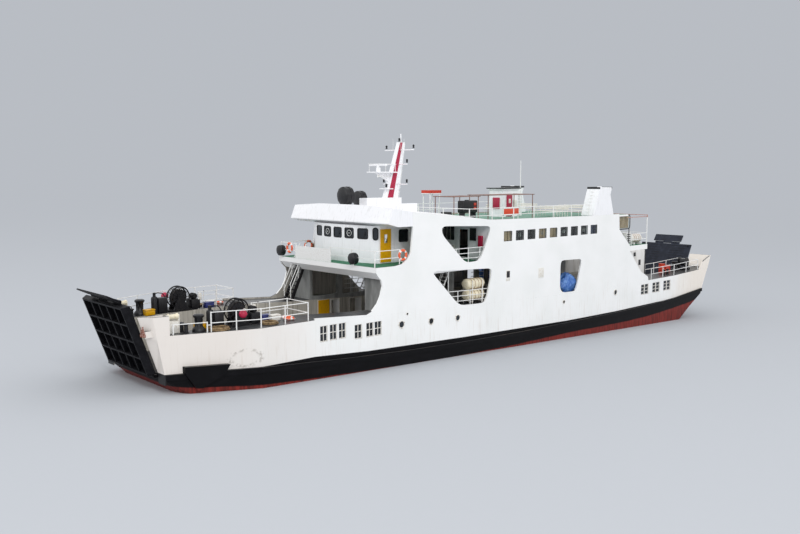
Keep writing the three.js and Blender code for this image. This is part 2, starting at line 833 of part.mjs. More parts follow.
function funnel() {
  const z0 = 9.73 + GAP;
  const side = outlineShape([
    [8.35, z0],
    [11.3, z0],
    [10.75, 11.4],
    [10.95, 12.0],
    [9.2, 12.0],
  ]);
  const body = sidePlate(side, -HALF_BEAM, -4.0);
  const skirt = box(8.4, 11.2, -4.98, -4.0, SUN_DECK_Z + GAP, z0 + 0.1);
  const pipe = bar([10.0, -4.6, 11.9], [10.0, -4.6, 12.06], 0.2, 10);
  return join([body, skirt, pipe]);
}

// Mast: a raked fin with yards, a radar platform and a light pole

function mast() {
  const z0 = MAST_STEP_Z + GAP;
  const fin = sidePlate(outlineShape([
    [-10.05, z0],
    [-8.7, z0],
    [-7.95, 15.3],
    [-8.45, 15.3],
  ]), -0.16, 0.16);
  const base = box(-11.75, -8.5, -0.4, 0.4, z0, z0 + 0.55);
  const radarPlatform = box(-10.9, -9.0, -0.6, 0.6, 13.15, 13.22);
  const radarArm = sidePlate(outlineShape([
    [-10.7, 13.16],
    [-9.4, 12.5],
    [-9.2, 13.16],
  ]), -0.06, 0.06);
  const pedestal = bar([-10.35, 0, 13.2], [-10.35, 0, 13.5], 0.16, 10);
  const yards = [[14.75, 1.5], [13.75, 1.0], [12.35, 1.25]].map(([z, half]) => {
    const x = -9.0 + (z - 11) * 0.17;
    return bar([x, -half, z], [x, half, z], 0.04, 6);
  });
  const platform = box(-9.9, -9.3, -0.4, 0.4, 12.0, 12.06);
  const topPole = bar([-8.2, 0, 15.2], [-8.2, 0, 15.9], 0.04, 6);
  return join([fin, base, radarPlatform, radarArm, pedestal, platform, topPole, ...yards]);
}

function radarScanner() {
  const hub = bar([-10.35, 0, 13.5 + GAP], [-10.35, 0, 13.66], 0.12, 10);
  const beam = box(-10.43, -10.27, -0.85, 0.85, 13.62, 13.76);
  return join([hub, beam]);
}

function whipMast() {
  const z = SUN_DECK_Z + GAP;
  return join([
    bar([5.4, 0, z], [5.4, 0, z + 0.3], 0.14, 8),
    bar([5.4, 0, z + 0.2], [5.4, 0, 14.2], 0.05, 6, 0.025),
  ]);
}

// Ramps, built lying along their own axis and turned to their lean

const RIB_HALF = 0.05;
const STRINGERS = 5;
const RIBS = 6;

// Knuckles along one edge of a panel, each with a root that reaches into the plate
function knuckleRow(half, set, z, root) {
  return knuckleSpans(half, set).map(([y0, y1]) => join([
    bar([0, y0, z], [0, y1, z], KNUCKLE_R, 10),
    box(-0.04, 0.04, y0, y1, Math.min(z, root), Math.max(z, root)),
  ]));
}

function rampPanel(ramp, side) {
  const { length, half, faceHalf, footDepth, headDepth } = ramp;
  const start = KNUCKLE_R + 0.06;
  const end = length - KNUCKLE_R - 0.06;
  const depthAt = (z) => footDepth + ((headDepth - footDepth) * (z - start)) / (end - start);
  const skin = box(-RIB_HALF, RIB_HALF, -half, half, start, end);
  const spacing = (end - start - 2 * RIB_HALF) / (STRINGERS - 1);
  const stringers = Array.from({ length: STRINGERS }, (_, i) => {
    const z = start + RIB_HALF + i * spacing;
    return box(0, depthAt(z), -faceHalf, faceHalf, z - RIB_HALF, z + RIB_HALF);
  });
  const ribOutline = outlineShape([
    [0, start],
    [footDepth * 0.88, start],
    [headDepth * 0.88, end],
    [0, end],
  ]);
  const ribSpacing = (2 * (faceHalf - RIB_HALF)) / (RIBS - 1);
  const ribs = Array.from({ length: RIBS }, (_, i) => {
    const y = -faceHalf + RIB_HALF + i * ribSpacing;
    return sidePlate(ribOutline, y - RIB_HALF, y + RIB_HALF);
  });
  const slantedSide = loft([[start, footDepth], [end, headDepth]].map(([z, depth]) => [
    [0, -half, z],
    [depth, -faceHalf, z],
    [depth, -faceHalf + 2 * RIB_HALF, z],
    [0, -faceHalf + 2 * RIB_HALF, z],
  ]));
  const lower = knuckleRow(half, 1, 0, start + 0.05);
  const upper = knuckleRow(ramp.flapHalf, 0, length, end - 0.05);
  const panel = join([
    skin, ...stringers, ...ribs, slantedSide, slantedSide.mirror([0, 1, 0]), ...lower, ...upper,
  ]);
  return side < 0 ? panel.mirror([1, 0, 0]) : panel;
}

function rampFlap(ramp) {
  const start = KNUCKLE_R + 0.06;
  const skin = box(-0.04, 0.04, -ramp.flapHalf, ramp.flapHalf, start, ramp.flap);
  return join([skin, ...knuckleRow(ramp.flapHalf, 1, 0, start + 0.05)]);
}

// Stern gear

function propeller() {
  const tip = PROPELLER_R;
  const hub = bar([-0.25, 0, 0], [0.25, 0, 0], 0.17, 12, 0.12);
  const blades = [0, 1, 2, 3].map((i) => {
    const blade = loft([
      [[-0.12, -0.12, 0.1], [-0.08, -0.16, 0.1], [0.16, 0.06, 0.1], [0.12, 0.1, 0.1]],
      [[-0.16, -0.3, 0.45], [-0.13, -0.32, 0.45], [0.17, 0.24, 0.45], [0.14, 0.26, 0.45]],
      [[-0.05, -0.16, tip], [-0.03, -0.17, tip], [0.07, 0.15, tip], [0.05, 0.16, tip]],
    ]);
    return blade.rotate([90 * i, 0, 0]);
  });
  return join([hub, ...blades]);
}

function rudder() {
  const blade = deckPlate(outlineShape([
    [-0.3, 0],
    [-0.12, -0.09],
    [0.75, -0.015],
    [0.75, 0.015],
    [-0.12, 0.09],
  ]), -2.25, -0.62);
  const stock = bar([0, 0, -0.7], [0, 0, -0.3 - GAP], 0.1, 10);
  return join([blade, stock]);
}

// Deck gear

function anchor() {
  const x = ANCHOR.x - 0.07 - GAP;
  const { y, z } = ANCHOR;
  const shank = bar([x, y, z - 0.1], [x, y, z + 0.4], 0.05, 6);
  const crown = box(x - 0.07, x + 0.07, y - 0.19, y + 0.19, z - 0.14, z);
  const flukes = [-1, 1].map((t) => {
    return bar([x, y + t * 0.13, z - 0.07], [x - 0.03, y + t * 0.15, z + 0.3], 0.06, 4, 0.02);
  });
  return join([shank, crown, ...flukes]);
}

const WINCH = { x: -24.0, y: -3.4, radius: 0.7, width: 0.5, axle: 0.85, axleRadius: 0.06 };

function winchFrame() {
  const { x, y, width, axle, axleRadius } = WINCH;
  const deck = sideDeckZ(x - 0.7) + GAP;
  const top = sideDeckZ(x) + axle;
  const base = box(x - 0.7, x + 0.7, y - 0.46, y + 0.46, deck, deck + 0.1);
  const cheeks = [-1, 1].map((t) => {
    const near = y + t * (width / 2 + 0.08);
    return sidePlate(outlineShape([
      [x - 0.5, deck + 0.05],
      [x + 0.5, deck + 0.05],
      [x + 0.14, top + 0.14],
      [x - 0.14, top + 0.14],
    ]), near - 0.05, near + 0.05);
  });
  const bore = bar([x, y - 1, top], [x, y + 1, top], axleRadius + GAP, 24);
  return cut(join([base, ...cheeks]), [bore]);
}

function winchDrum() {
  const { x, y, radius, width, axle, axleRadius } = WINCH;
  const z = sideDeckZ(x) + axle;
  return join([
    bar([x, y - width / 2, z], [x, y + width / 2, z], radius, 20),
    bar([x, y - width / 2 - 0.12, z], [x, y + width / 2 + 0.12, z], axleRadius, 24),
  ]);
}

// Railings on the side decks
const RAIL_FOOT = 0.0015;

function deckEdge(x, inset) {
  return [x, -halfBeam(x) + inset, sideDeckZ(x) + RAIL_FOOT];
}

function laneEdge(x) {
  return [x, -LANE_HALF - 0.08, sideDeckZ(x) + RAIL_FOOT];
}

// The outer rail is low ahead of the place where it starts at its full height
const FORE_RAIL_HEIGHTS = [0.5, 1.08];

function foreDeckRail(fullFrom) {
  const low = railing([deckEdge(-28.0, 0.1), deckEdge(fullFrom - 0.2, 0.1)], [0.55]);
  const full = railing([
    deckEdge(fullFrom, 0.1),
    deckEdge(-23.5, 0.1),
    deckEdge(-20.3, 0.1),
    laneEdge(-20.3),
    laneEdge(-22.8),
  ], FORE_RAIL_HEIGHTS, 1.5);
  const link = bar(deckRailPoint(fullFrom - 0.2, 0.4), deckRailPoint(fullFrom, 0.4), 0.028);
  return join([low, full, link]);
}

function deckRailPoint(x, height) {
  const [px, py, pz] = deckEdge(x, 0.1);
  return [px, py, pz + height];
}

function aftDeckRail() {
  const outer = [17.9, 22, 26.6].map((x) => deckEdge(x, 0.08));
  const inner = [26.6, 22, LANE_WALL_BACK_X + 0.2].map((x) => laneEdge(x));
  return railing([...outer, ...inner], RAIL_HEIGHTS);
}

function sunDeckRail() {
  const z = SUN_DECK_Z + GAP;
  const y = HALF_BEAM - 0.22;
  const [front, back] = [-6.4, 8.0];
  return railing([[back, -y, z], [front, -y, z], [front, y, z], [back, y, z]], RAIL_HEIGHTS);
}

function lifeRaftRack() {
  const x = -6.2;
  const z = sideDeckZ(x) + 0.08;
  const y = -4.55;
  const rafts = [0.55, 1.25].map((height) => bar([x, y, z + height], [x + 1.55, y, z + height], 0.33, 10));
  const ends = [0.3, 1.25].map((t) => {
    const foot = sideDeckZ(x + t - 0.03) + GAP;
    return box(x + t - 0.03, x + t + 0.03, y - 0.4, y + 0.4, foot, z + 1.5);
  });
  return join([...rafts, ...ends]);
}

function bridgeStairs() {
  const { footX, headX, y0, y1, steps } = STAIRS;
  const footZ = sideDeckZ(footX);
  const rise = (BRIDGE_DECK_Z - 0.05 - footZ) / steps;
  const run = (headX - footX) / steps;
  const treads = Array.from({ length: steps }, (_, i) => {
    const x = footX + i * run;
    const z = footZ + (i + 1) * rise;
    return box(x, x + run + 0.06, y0, y1, z - 0.04, z);
  });
  const stringers = [y0, y1].map((y) => sidePlate(outlineShape([
    [footX - 0.05, sideDeckZ(footX - 0.05) + GAP],
    [footX + 0.25, sideDeckZ(footX + 0.25) + GAP],
    [headX, BRIDGE_DECK_Z - 0.4],
    [headX, BRIDGE_DECK_Z],
  ]), y - 0.03, y + 0.03));
  return join([...treads, ...stringers]);
}

const CANOPY = { x0: -5.7, x1: -4.5, half: 0.45, under: 11.62, top: 11.88, inset: 0.12 };

function canopy() {
  const { x0, x1, half, under, top, inset } = CANOPY;
  const z = SUN_DECK_Z + GAP;
  const corners = [x0 + inset, x1 - inset].flatMap((x) => [-half + 0.1, half - 0.1].map((y) => [x, y]));
  const legs = corners.map(([x, y]) => bar([x, y, z], [x, y, under + 0.05], 0.04));
  return join([box(x0, x1, -half, half, under, top), ...legs]);
}

const DECK_HOUSE = { x0: 2.3, x1: 4.2, half: 0.7, top: 11.9, eaves: 0.1 };

function deckHouse() {
  const { x0, x1, half, top, eaves } = DECK_HOUSE;
  const z = SUN_DECK_Z + GAP;
  const roof = box(x0 - eaves, x1 + eaves, -half - eaves, half + eaves, top - 0.1, top);
  return join([box(x0, x1, -half, half, z, top - 0.05), roof]);
}

// Assembly

const ferry = new THREE.Group();
ferry.scale.setScalar(MODEL_MM_PER_METRE);
const starboardSide = new THREE.Group();
starboardSide.scale.y = -1;
ferry.add(starboardSide);

function addPiece(parent, name, solid, paint, roughness = 0.5, metalness = 0) {
  const material = new THREE.MeshStandardMaterial({ color: paint, roughness, metalness });
  const mesh = new THREE.Mesh(toGeometry(solid), material);
  mesh.name = name;
  parent.add(mesh);
  return mesh;
}

// The same piece on the port side and mirrored to starboard
function addPair(name, solid, paint, roughness, metalness) {
  const port = addPiece(ferry, `port_${name}`, solid, paint, roughness, metalness);
  const starboard = port.clone();
  starboard.name = `starboard_${name}`;
  starboardSide.add(starboard);
  return [port, starboard];
}

addPiece(ferry, "hull", hull(), PAINT.black);
addPair("fender", fender(), PAINT.black);
addPair("side_casing", sideCasing(), PAINT.white);
addPair("bow_shoulder", bowShoulder(), PAINT.white);
addPair("shell_forward", shellForward(), PAINT.white);
addPair("shell_aft", shellAft(), PAINT.white);
addPair("gallery_wall", galleryWall(), PAINT.grey);
addPair("gallery_bulkhead", galleryBulkhead(), PAINT.grey);
addPiece(ferry, "passenger_deck", passengerDeck(), PAINT.deckGreen);
addPiece(ferry, "wheelhouse", wheelhouse(), PAINT.white);
addPiece(ferry, "bridge_front_rail", bridgeFrontRail(), PAINT.white);
addPiece(ferry, "house_front_bulkhead", houseBulkhead(HOUSE_FRONT_X, 2.6), PAINT.white);
addPiece(ferry, "house_aft_bulkhead", houseBulkhead(HOUSE_BACK_X - 0.3, 1.8), PAINT.white);
addPiece(ferry, "bridge_roof", bridgeRoof(), PAINT.white);
addPiece(ferry, "sun_deck", sunDeck(), PAINT.deckGreen);
addPair("stern_bulwark", sternBulwark(), PAINT.white);
addPiece(ferry, "aft_gallery", aftGallery(), PAINT.white);
addPair("funnel", funnel(), PAINT.white);
addPiece(ferry, "mast", mast(), PAINT.white);
addPiece(ferry, "radar_scanner", radarScanner(), PAINT.white);
addPiece(ferry, "whip_mast", whipMast(), PAINT.white);
addPair("winch_frame", winchFrame(), PAINT.black);
addPair("winch_drum", winchDrum(), PAINT.black);
addPair("bridge_door", bridgeDoor(), PAINT.yellow);
addPair("casing_door", casingDoor(), PAINT.yellow);
addPiece(ferry, "port_fore_deck_rail", foreDeckRail(-26.1), PAINT.white);
addPiece(starboardSide, "starboard_fore_deck_rail", foreDeckRail(-27.7), PAINT.white);
addPair("aft_deck_rail", aftDeckRail(), PAINT.white);
addPiece(ferry, "sun_deck_rail", sunDeckRail(), PAINT.white);
addPair("life_raft_rack", lifeRaftRack(), PAINT.cream);
addPiece(ferry, "bridge_stairs", bridgeStairs(), PAINT.black);
addPiece(ferry, "canopy", canopy(), PAINT.red);
addPiece(ferry, "deck_house", deckHouse(), PAINT.white);

function placeRamp(name, ramp, outward, paint) {
  const lean = THREE.MathUtils.degToRad(ramp.lean);
  const panel = addPiece(ferry, `${name}_ramp`, rampPanel(ramp, outward), paint);
  panel.position.set(ramp.hingeX, 0, ramp.hingeZ);
  panel.rotation.y = lean;
  const flap = addPiece(ferry, `${name}_flap`, rampFlap(ramp), paint);
  flap.position.set(
    ramp.hingeX + Math.sin(lean) * ramp.length,
    0,
    ramp.hingeZ + Math.cos(lean) * ramp.length,
  );
  flap.rotation.y = lean + THREE.MathUtils.degToRad(ramp.flapTurn);
}

placeRamp("bow", BOW_RAMP, -1, PAINT.black);
placeRamp("stern", STERN_RAMP, 1, PAINT.navy);

addPair("propeller", propeller(), PAINT.bronze, 0.3, 0.8).forEach((mesh) => {
  mesh.position.set(PROPELLER_X, -SHAFT_Y, SHAFT_Z);
});
addPair("rudder", rudder(), PAINT.black).forEach((mesh) => {
  mesh.position.set(RUDDER_X, -SHAFT_Y, 0);
});
addPair("anchor", anchor(), PAINT.black);

ferry.position.z = -SINKAGE * MODEL_MM_PER_METRE;

export default ferry;
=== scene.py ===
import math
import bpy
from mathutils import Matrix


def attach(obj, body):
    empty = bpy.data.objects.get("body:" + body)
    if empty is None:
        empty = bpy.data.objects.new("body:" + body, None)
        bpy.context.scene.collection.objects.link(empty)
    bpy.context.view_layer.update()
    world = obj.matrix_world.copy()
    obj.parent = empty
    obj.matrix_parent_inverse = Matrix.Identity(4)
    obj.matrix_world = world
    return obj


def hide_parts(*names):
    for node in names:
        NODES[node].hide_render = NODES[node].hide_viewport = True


bl_info = {
    "name": "Car Ferry",
    "version": (1, 0, 0),
    "blender": (4, 5, 0),
    "location": "3D View > Sidebar > Ferry",
    "description": "Dresses the packed frame of a half-scale car ferry",
    "category": "Object",
}

import bmesh
import bpy
from mathutils import Matrix, Vector
from mathutils.noise import noise as noise_at

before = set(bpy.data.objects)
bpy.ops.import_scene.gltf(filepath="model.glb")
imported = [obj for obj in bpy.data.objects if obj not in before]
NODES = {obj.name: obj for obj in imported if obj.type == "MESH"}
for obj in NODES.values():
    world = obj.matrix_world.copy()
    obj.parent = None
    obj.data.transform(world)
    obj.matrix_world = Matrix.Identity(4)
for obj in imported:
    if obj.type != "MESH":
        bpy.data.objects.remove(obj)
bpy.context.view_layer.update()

# The model is half the size of the ship. Sizes below are in metres of the ship,
# with heights from its light waterline. It floats SINKAGE deeper than that.
SCALE = 0.5
SINKAGE = 0.3
# Rise of the floor per metre towards the stern, as the waterline runs
TRIM_SLOPE = -0.0397

# Half widths of the ship and of its vehicle lane
HALF_BEAM = 5.2
LANE_HALF = 2.95
# Heights of the decks, and how far the car deck lies below the side deck
BRIDGE_DECK = 7.28
SALOON_DECK = 6.93
SUN_DECK = 9.66
CAR_DECK_DROP = 2.15
# Which way each side of the ship lies along Y
SIDES = {"port": -1, "starboard": 1}

AFT = Vector((1, 0, 0))
STARBOARD = Vector((0, 1, 0))
UP = Vector((0, 0, 1))

# Height of the side deck along the ship
SIDE_DECK = (
    (-28.2, 4.6), (-19.9, 4.6), (-15.8, 4.33), (-7.0, 4.0),
    (5.0, 3.66), (12.0, 3.6), (22.0, 3.69), (28.5, 3.92),
)
# Height of the border between the black and the white paint
PAINT_BORDER = (
    (-29.5, 2.55), (-23.5, 2.44), (-22.0, 2.33), (-17.0, 2.0),
    (-9.0, 1.63), (0.0, 1.42), (9.0, 1.36), (18.0, 1.44), (22.0, 1.59), (27.3, 2.0),
)
# Height of the border between the black and the red paint
BOOT_TOP = (
    (-29.5, 2.17), (-26.8, 1.67), (-23.3, 1.4), (-18.9, 1.12),
    (-3.5, 0.52), (5.0, 0.5), (15.4, 0.37), (22.0, 0.62), (27.3, 1.15),
)
# Half width of the ship in plan
PLAN = ((-29.9, 3.12), (-23.5, 5.2), (28.6, 5.2))
# Middle of the tyre's rubbing mark on the port bow, and its radius in the model
SCUFF = (-24.4, 0, 3.03)
SCUFF_RADIUS = 0.22
# Heights where the rust of the after gallery and the red of the canopy begin
GALLERY_RUST = 9.3
CANOPY_ROOF = 11.66
# Distance between the frames behind the plating
FRAME_SPACING = 0.6
# Stripes that a wave texture of scale 1 draws in a metre
WAVES_PER_METRE = 3.2
# Edges that bend more than this stay sharp when a piece is shaded
SHARP_ANGLE = math.radians(40)


def at_x(table, x):
    """Value at x in a table of lengths and values."""
    for (x0, z0), (x1, z1) in zip(table, table[1:]):
        if x <= x1:
            return z0 + (z1 - z0) * (x - x0) / (x1 - x0)
    return table[-1][1]


def deck_z(x):
    """Height of the side deck."""
    return at_x(SIDE_DECK, x)


def half_beam(x):
    """Half width of the ship in plan."""
    return at_x(PLAN, x)


def model(x, y, z):
    """A place on the ship in the model's frame."""
    return Vector((x * SCALE, y * SCALE, (z - SINKAGE) * SCALE))


def linear(code):
    """sRGB hex text as linear red, green, blue and alpha."""
    values = [int(code[i:i + 2], 16) / 255 for i in (0, 2, 4)]
    return tuple(
        v / 12.92 if v <= 0.04045 else ((v + 0.055) / 1.055) ** 2.4 for v in values
    ) + (1.0,)


# Sizes and colours that a user would change


def colour_setting(name, description, default):
    """A colour that a user can change."""
    return bpy.props.FloatVectorProperty(
        name=name, description=description, default=default, subtype="COLOR", min=0, max=1,
    )


class FERRY_PG_stage(bpy.types.PropertyGroup):
    camera_place: bpy.props.FloatVectorProperty(
        name="Camera place", description="Where the camera stands",
        default=(-23.83, -21.07, 6.31), unit="LENGTH",
    )
    camera_yaw: bpy.props.FloatProperty(
        name="Camera yaw", description="Turn of the view from +X towards +Y",
        default=math.radians(46.94), unit="ROTATION",
    )
    camera_pitch: bpy.props.FloatProperty(
        name="Camera pitch", description="Downward tilt of the view",
        default=math.radians(6.46), unit="ROTATION",
    )
    lens: bpy.props.FloatProperty(
        name="Lens", description="Focal length on a 36 mm sensor",
        default=36.15, unit="CAMERA",
    )
    floor_size: bpy.props.FloatProperty(
        name="Floor size", description="Side of the pale floor", default=900.0, unit="LENGTH",
    )
    floor_colour: colour_setting("Floor colour", "Pale floor paint", (0.5, 0.52, 0.55))
    sky_colour: colour_setting(
        "Sky colour", "Colour of the soft light from all round", (0.97, 0.98, 1.0),
    )
    sky_strength: bpy.props.FloatProperty(
        name="Sky strength", description="Strength of the soft light", default=1.0, min=0,
    )


class FERRY_PG_paint(bpy.types.PropertyGroup):
    topside_white: colour_setting(
        "Topside white", "Enamel of the sides above the border", linear("f7f7f6")[:3],
    )
    hull_black: colour_setting(
        "Hull black", "Enamel between border and boot top", linear("09090c")[:3],
    )
    bottom_red: colour_setting(
        "Bottom red", "Antifouling below the boot top", linear("83302a")[:3],
    )


# Materials


def connect(tree, value, socket):
    """Gives a socket a node or another socket to read, or hex text or a plain value."""
    if isinstance(value, bpy.types.Node):
        value = next(output for output in value.outputs if output.enabled)
    if isinstance(value, bpy.types.NodeSocket):
        tree.links.new(value, socket)
    else:
        socket.default_value = linear(value) if isinstance(value, str) else value


def node(tree, kind, *inputs, **settings):
    """Adds a shader node with its settings, and fills its inputs in their order."""
    made = tree.nodes.new(f"ShaderNode{kind}")
    for key, value in settings.items():
        setattr(made, key, value)
    sockets = [socket for socket in made.inputs if socket.enabled]
    for socket, value in zip(sockets, inputs):
        connect(tree, value, socket)
    return made


class Coat:
    """A material in the making. Its patterns read the piece's own coordinates."""

    def __init__(self, name, roughness, metallic=0.0, ior=1.5, **sockets):
        self.made = bpy.data.materials.new(name)
        self.made.use_nodes = True
        self.tree = self.made.node_tree
        self.shader = self.tree.nodes["Principled BSDF"]
        values = {"Roughness": roughness, "Metallic": metallic, "IOR": ior, **sockets}
        for key, value in values.items():
            self.shader.inputs[key.replace("_", " ")].default_value = value
        self.place = self.node("TexCoord").outputs["Object"]

    def node(self, kind, *inputs, **settings):
        return node(self.tree, kind, *inputs, **settings)

    def facing(self):
        """The X, Y and Z of the way that the surface faces."""
        normal = self.node("NewGeometry").outputs["Normal"]
        return self.node("SeparateXYZ", normal).outputs

    def fade(self, source, low, high, first, second):
        """Colour that goes from first to second as source goes from low to high."""
        share = self.node("MapRange", source, low, high, interpolation_type="SMOOTHSTEP")
        return self.node("Mix", share, first, second, data_type="RGBA")

    def stained(self, base, stain, where, strength=1.0):
        """Colour with a stain laid over it as strongly as a pattern says."""
        share = self.node("Math", where, strength, operation="MULTIPLY")
        return self.node("Mix", share, base, stain, data_type="RGBA")

    def blotches(self, size_mm, detail=3.0, stretch=(1, 1, 1), roughness=0.55):
        """Noise whose blotches are about size_mm wide on the model."""
        unmoved = (0, 0, 0)
        mapping = self.node("Mapping", self.place, unmoved, unmoved, stretch)
        return self.node("TexNoise", mapping, 1000.0 / size_mm, detail, roughness)

    def plating(self):
        """Slight hollows between the frames of thin welded plate."""
        scale = 1.0 / (FRAME_SPACING * SCALE) / WAVES_PER_METRE
        hollows = self.node("TexWave", self.place, scale, 0.6, 1.0, bands_direction="X")
        inputs = (hollows.outputs["Fac"], 0.35, self.blotches(900, 2))
        return self.node("Math", *inputs, operation="MULTIPLY_ADD")

    def height_over(self, table):
        """How far a point lies above a line in a table of ship lengths and heights."""
        x, _, z = self.node("SeparateXYZ", self.place).outputs
        low, high = table[0][0], table[-1][0]
        top = max(height for _, height in table)
        along = self.node("MapRange", x, low * SCALE, high * SCALE)
        curve = self.node("FloatCurve", 1.0, along)
        points = curve.mapping.curves[0].points
        points[0].location = (0, table[0][1] / top)
        points[1].location = (1, table[-1][1] / top)
        for length, height in table[1:-1]:
            points.new((length - low) / (high - low), height / top)
        curve.mapping.update()
        line = self.node(
            "Math", curve, top * SCALE, -SINKAGE * SCALE, operation="MULTIPLY_ADD",
        )
        return self.node("Math", z, line, operation="SUBTRACT")

    def above(self, height, blend, below, over):
        """One colour below a height on the ship and another over it."""
        z = self.node("SeparateXYZ", self.place).outputs["Z"]
        level = (height - SINKAGE) * SCALE
        return self.fade(z, level, level + blend, below, over)

    def done(self, colour, relief=None, depth_mm=1.0, strength=0.3, roughness=None):
        """Gives the shader its colour, roughness and relief, and returns the material."""
        connect(self.tree, colour, self.shader.inputs["Base Color"])
        if roughness is not None:
            connect(self.tree, roughness, self.shader.inputs["Roughness"])
        if relief is not None:
            bump = self.node("Bump", strength, depth_mm / 1000.0)
            connect(self.tree, relief, bump.inputs["Height"])
            connect(self.tree, bump, self.shader.inputs["Normal"])
        return self.made


def chosen(name):
    """A colour of the paint settings."""
    return (*getattr(bpy.context.scene.ferry_paint, name), 1)


def hull_enamel(name):
    """Black ship's enamel over red antifouling, dulled by salt; the car deck is worn grey."""
    coat = Coat(name, 0.5, Specular_IOR_Level=0.12)
    salt = coat.blotches(260, 5, (0.35, 1, 1))
    black = coat.fade(salt, 0.45, 0.85, chosen("hull_black"), "151418")
    streaks = coat.blotches(90, 4, (1, 1, 0.12))
    red = coat.fade(streaks, 0.35, 0.75, chosen("bottom_red"), "47201d")
    uneven = coat.node("Math", salt, 0.5, operation="SUBTRACT")
    height = coat.height_over(BOOT_TOP)
    border = coat.node("Math", uneven, 0.05, height, operation="MULTIPLY_ADD")
    side = coat.fade(border, -0.02, 0.02, red, black)
    steel = coat.fade(coat.blotches(240, 6, (0.25, 1, 1)), 0.4, 0.7, "3c3d3f", "56504a")
    colour = coat.fade(coat.facing()["Z"], 0.85, 0.95, side, steel)
    dull = coat.node("Math", salt, 0.25, 0.4, operation="MULTIPLY_ADD")
    return coat.done(colour, coat.plating(), 5.0, 0.35, dull)


def tyre_scuff(coat, y):
    """Where a tyre hung over the port side has rubbed a dark ring on the bow."""
    away = coat.node("VectorMath", coat.place, model(*SCUFF), operation="SUBTRACT")
    flat = coat.node("VectorMath", away, (0.52, 0, 1), operation="MULTIPLY")
    reach = coat.node("VectorMath", flat, operation="LENGTH")
    off = coat.node("Math", reach, SCUFF_RADIUS, operation="SUBTRACT")
    off = coat.node("Math", off, operation="ABSOLUTE")
    ring = coat.node("MapRange", off, 0.07, 0.0, interpolation_type="SMOOTHSTEP")
    spots = coat.blotches(90, 5)
    worn = coat.node("MapRange", spots, 0.45, 0.62, interpolation_type="SMOOTHSTEP")
    port = coat.node("Math", y, 0.0, operation="LESS_THAN")
    rubbed = coat.node("Math", ring, port, operation="MULTIPLY")
    return coat.node("Math", rubbed, worn, operation="MULTIPLY")


def topside_enamel(name):
    """White ship's enamel on welded plate: slightly hollow, streaked below the deck edge,
    darker and creamier towards bow and stern, and black below the painted border."""
    coat = Coat(name, 0.38)
    x, y, z = coat.node("SeparateXYZ", coat.place).outputs
    facing = coat.facing()
    cloud = coat.blotches(1400, 3)
    white = coat.fade(cloud, 0.3, 0.75, chosen("topside_white"), "f0f1ef")
    # darker and creamier towards the bow, creamier towards the stern
    along = coat.node("Math", cloud, 3.0, x, operation="MULTIPLY_ADD")
    toned_by_length = coat.fade(along, -7.0, -11.5, white, "e6dfd8")
    toned_by_length = coat.fade(along, 11.3, 14.8, toned_by_length, "f1e9df")
    streaks = coat.blotches(60, 5, (1, 1, 0.07))
    streaked = coat.node("MapRange", streaks, 0.52, 0.72, interpolation_type="SMOOTHSTEP")
    low = coat.node("MapRange", z, 2.6, 0.7, interpolation_type="SMOOTHSTEP")
    dirt = coat.node("Math", streaked, low, operation="MULTIPLY")
    dirty = coat.stained(toned_by_length, "b9a58c", dirt, 0.2)
    dirty = coat.stained(dirty, "8d8377", tyre_scuff(coat, y), 0.5)
    painted = coat.fade(coat.height_over(PAINT_BORDER), -0.004, 0.004, "0b0b0e", dirty)
    grey = coat.fade(coat.blotches(130, 6), 0.35, 0.7, "36373a", "4c4c4c")
    deck = coat.fade(coat.blotches(420, 4), 0.55, 0.7, grey, "4d3b2d")
    # painted shade: faces that look inboard are drawn beige-grey, with darker streaks
    inner = coat.fade(streaks, 0.4, 0.8, "bdb8ae", "8f8a80")
    outwards = coat.node("Math", y, facing["Y"], operation="MULTIPLY")
    sides = coat.fade(outwards, -0.3, -0.1, inner, painted)
    colour = coat.fade(facing["Z"], 0.85, 0.95, sides, deck)
    return coat.done(colour, coat.plating(), 4.0, 0.3)


def white_enamel(name):
    """White gloss enamel of the deck houses: smooth rolled paint with faint streaks."""
    coat = Coat(name, 0.35)
    colour = coat.fade(coat.blotches(70, 4, (1, 1, 0.1)), 0.5, 0.8, "f6f6f8", "e4e4e4")
    return coat.done(colour, coat.blotches(500, 2), 3.0, 0.3)


def lane_enamel(name):
    """Enamel of the vehicle lane's walls: blotchy grey forward, which is painted shade of the white
    walls under the decks above, and scraped white aft.
    """
    coat = Coat(name, 0.55)
    soot_and_shade = coat.blotches(300, 5, (1, 1, 0.3))
    # painted shade: forward, under the decks above, the white walls are drawn blotchy grey
    fore = coat.fade(soot_and_shade, 0.3, 0.75, "a0a19f", "6d6e6c")
    after = coat.fade(soot_and_shade, 0.4, 0.8, "efedea", "c9c5bc")
    x = coat.node("SeparateXYZ", coat.place).outputs["X"]
    return coat.done(coat.fade(x, 1.0, 6.0, fore, after), coat.plating(), 3.0, 0.3)


def gear_enamel(name):
    """Black machinery enamel: greasy, thick, with bare rubbed patches."""
    coat = Coat(name, 0.45, Specular_IOR_Level=0.3)
    grease = coat.blotches(50, 5)
    colour = coat.fade(grease, 0.45, 0.75, "17171b", "2e2b29")
    dull = coat.node("Math", grease, 0.4, 0.25, operation="MULTIPLY_ADD")
    return coat.done(colour, grease, 2.0, 0.4, dull)


def ramp_steel(name):
    """Black enamel on the ramps: scuffed by wheels, brown where the plate shows."""
    coat = Coat(name, 0.55, Specular_IOR_Level=0.15)
    scuff = coat.blotches(180, 6, (1, 0.4, 1))
    dark = coat.fade(scuff, 0.4, 0.7, "0d0d11", "18181c")
    colour = coat.fade(coat.blotches(90, 5), 0.66, 0.8, dark, "33271f")
    return coat.done(colour, scuff, 2.5, 0.4)


def navy_enamel(name):
    """Dark blue enamel of the stern ramp, dulled by spray."""
    coat = Coat(name, 0.5, Specular_IOR_Level=0.3)
    spray = coat.blotches(220, 5, (1, 1, 0.4))
    return coat.done(coat.fade(spray, 0.4, 0.75, "171c29", "262c3a"), spray, 2.0, 0.3)


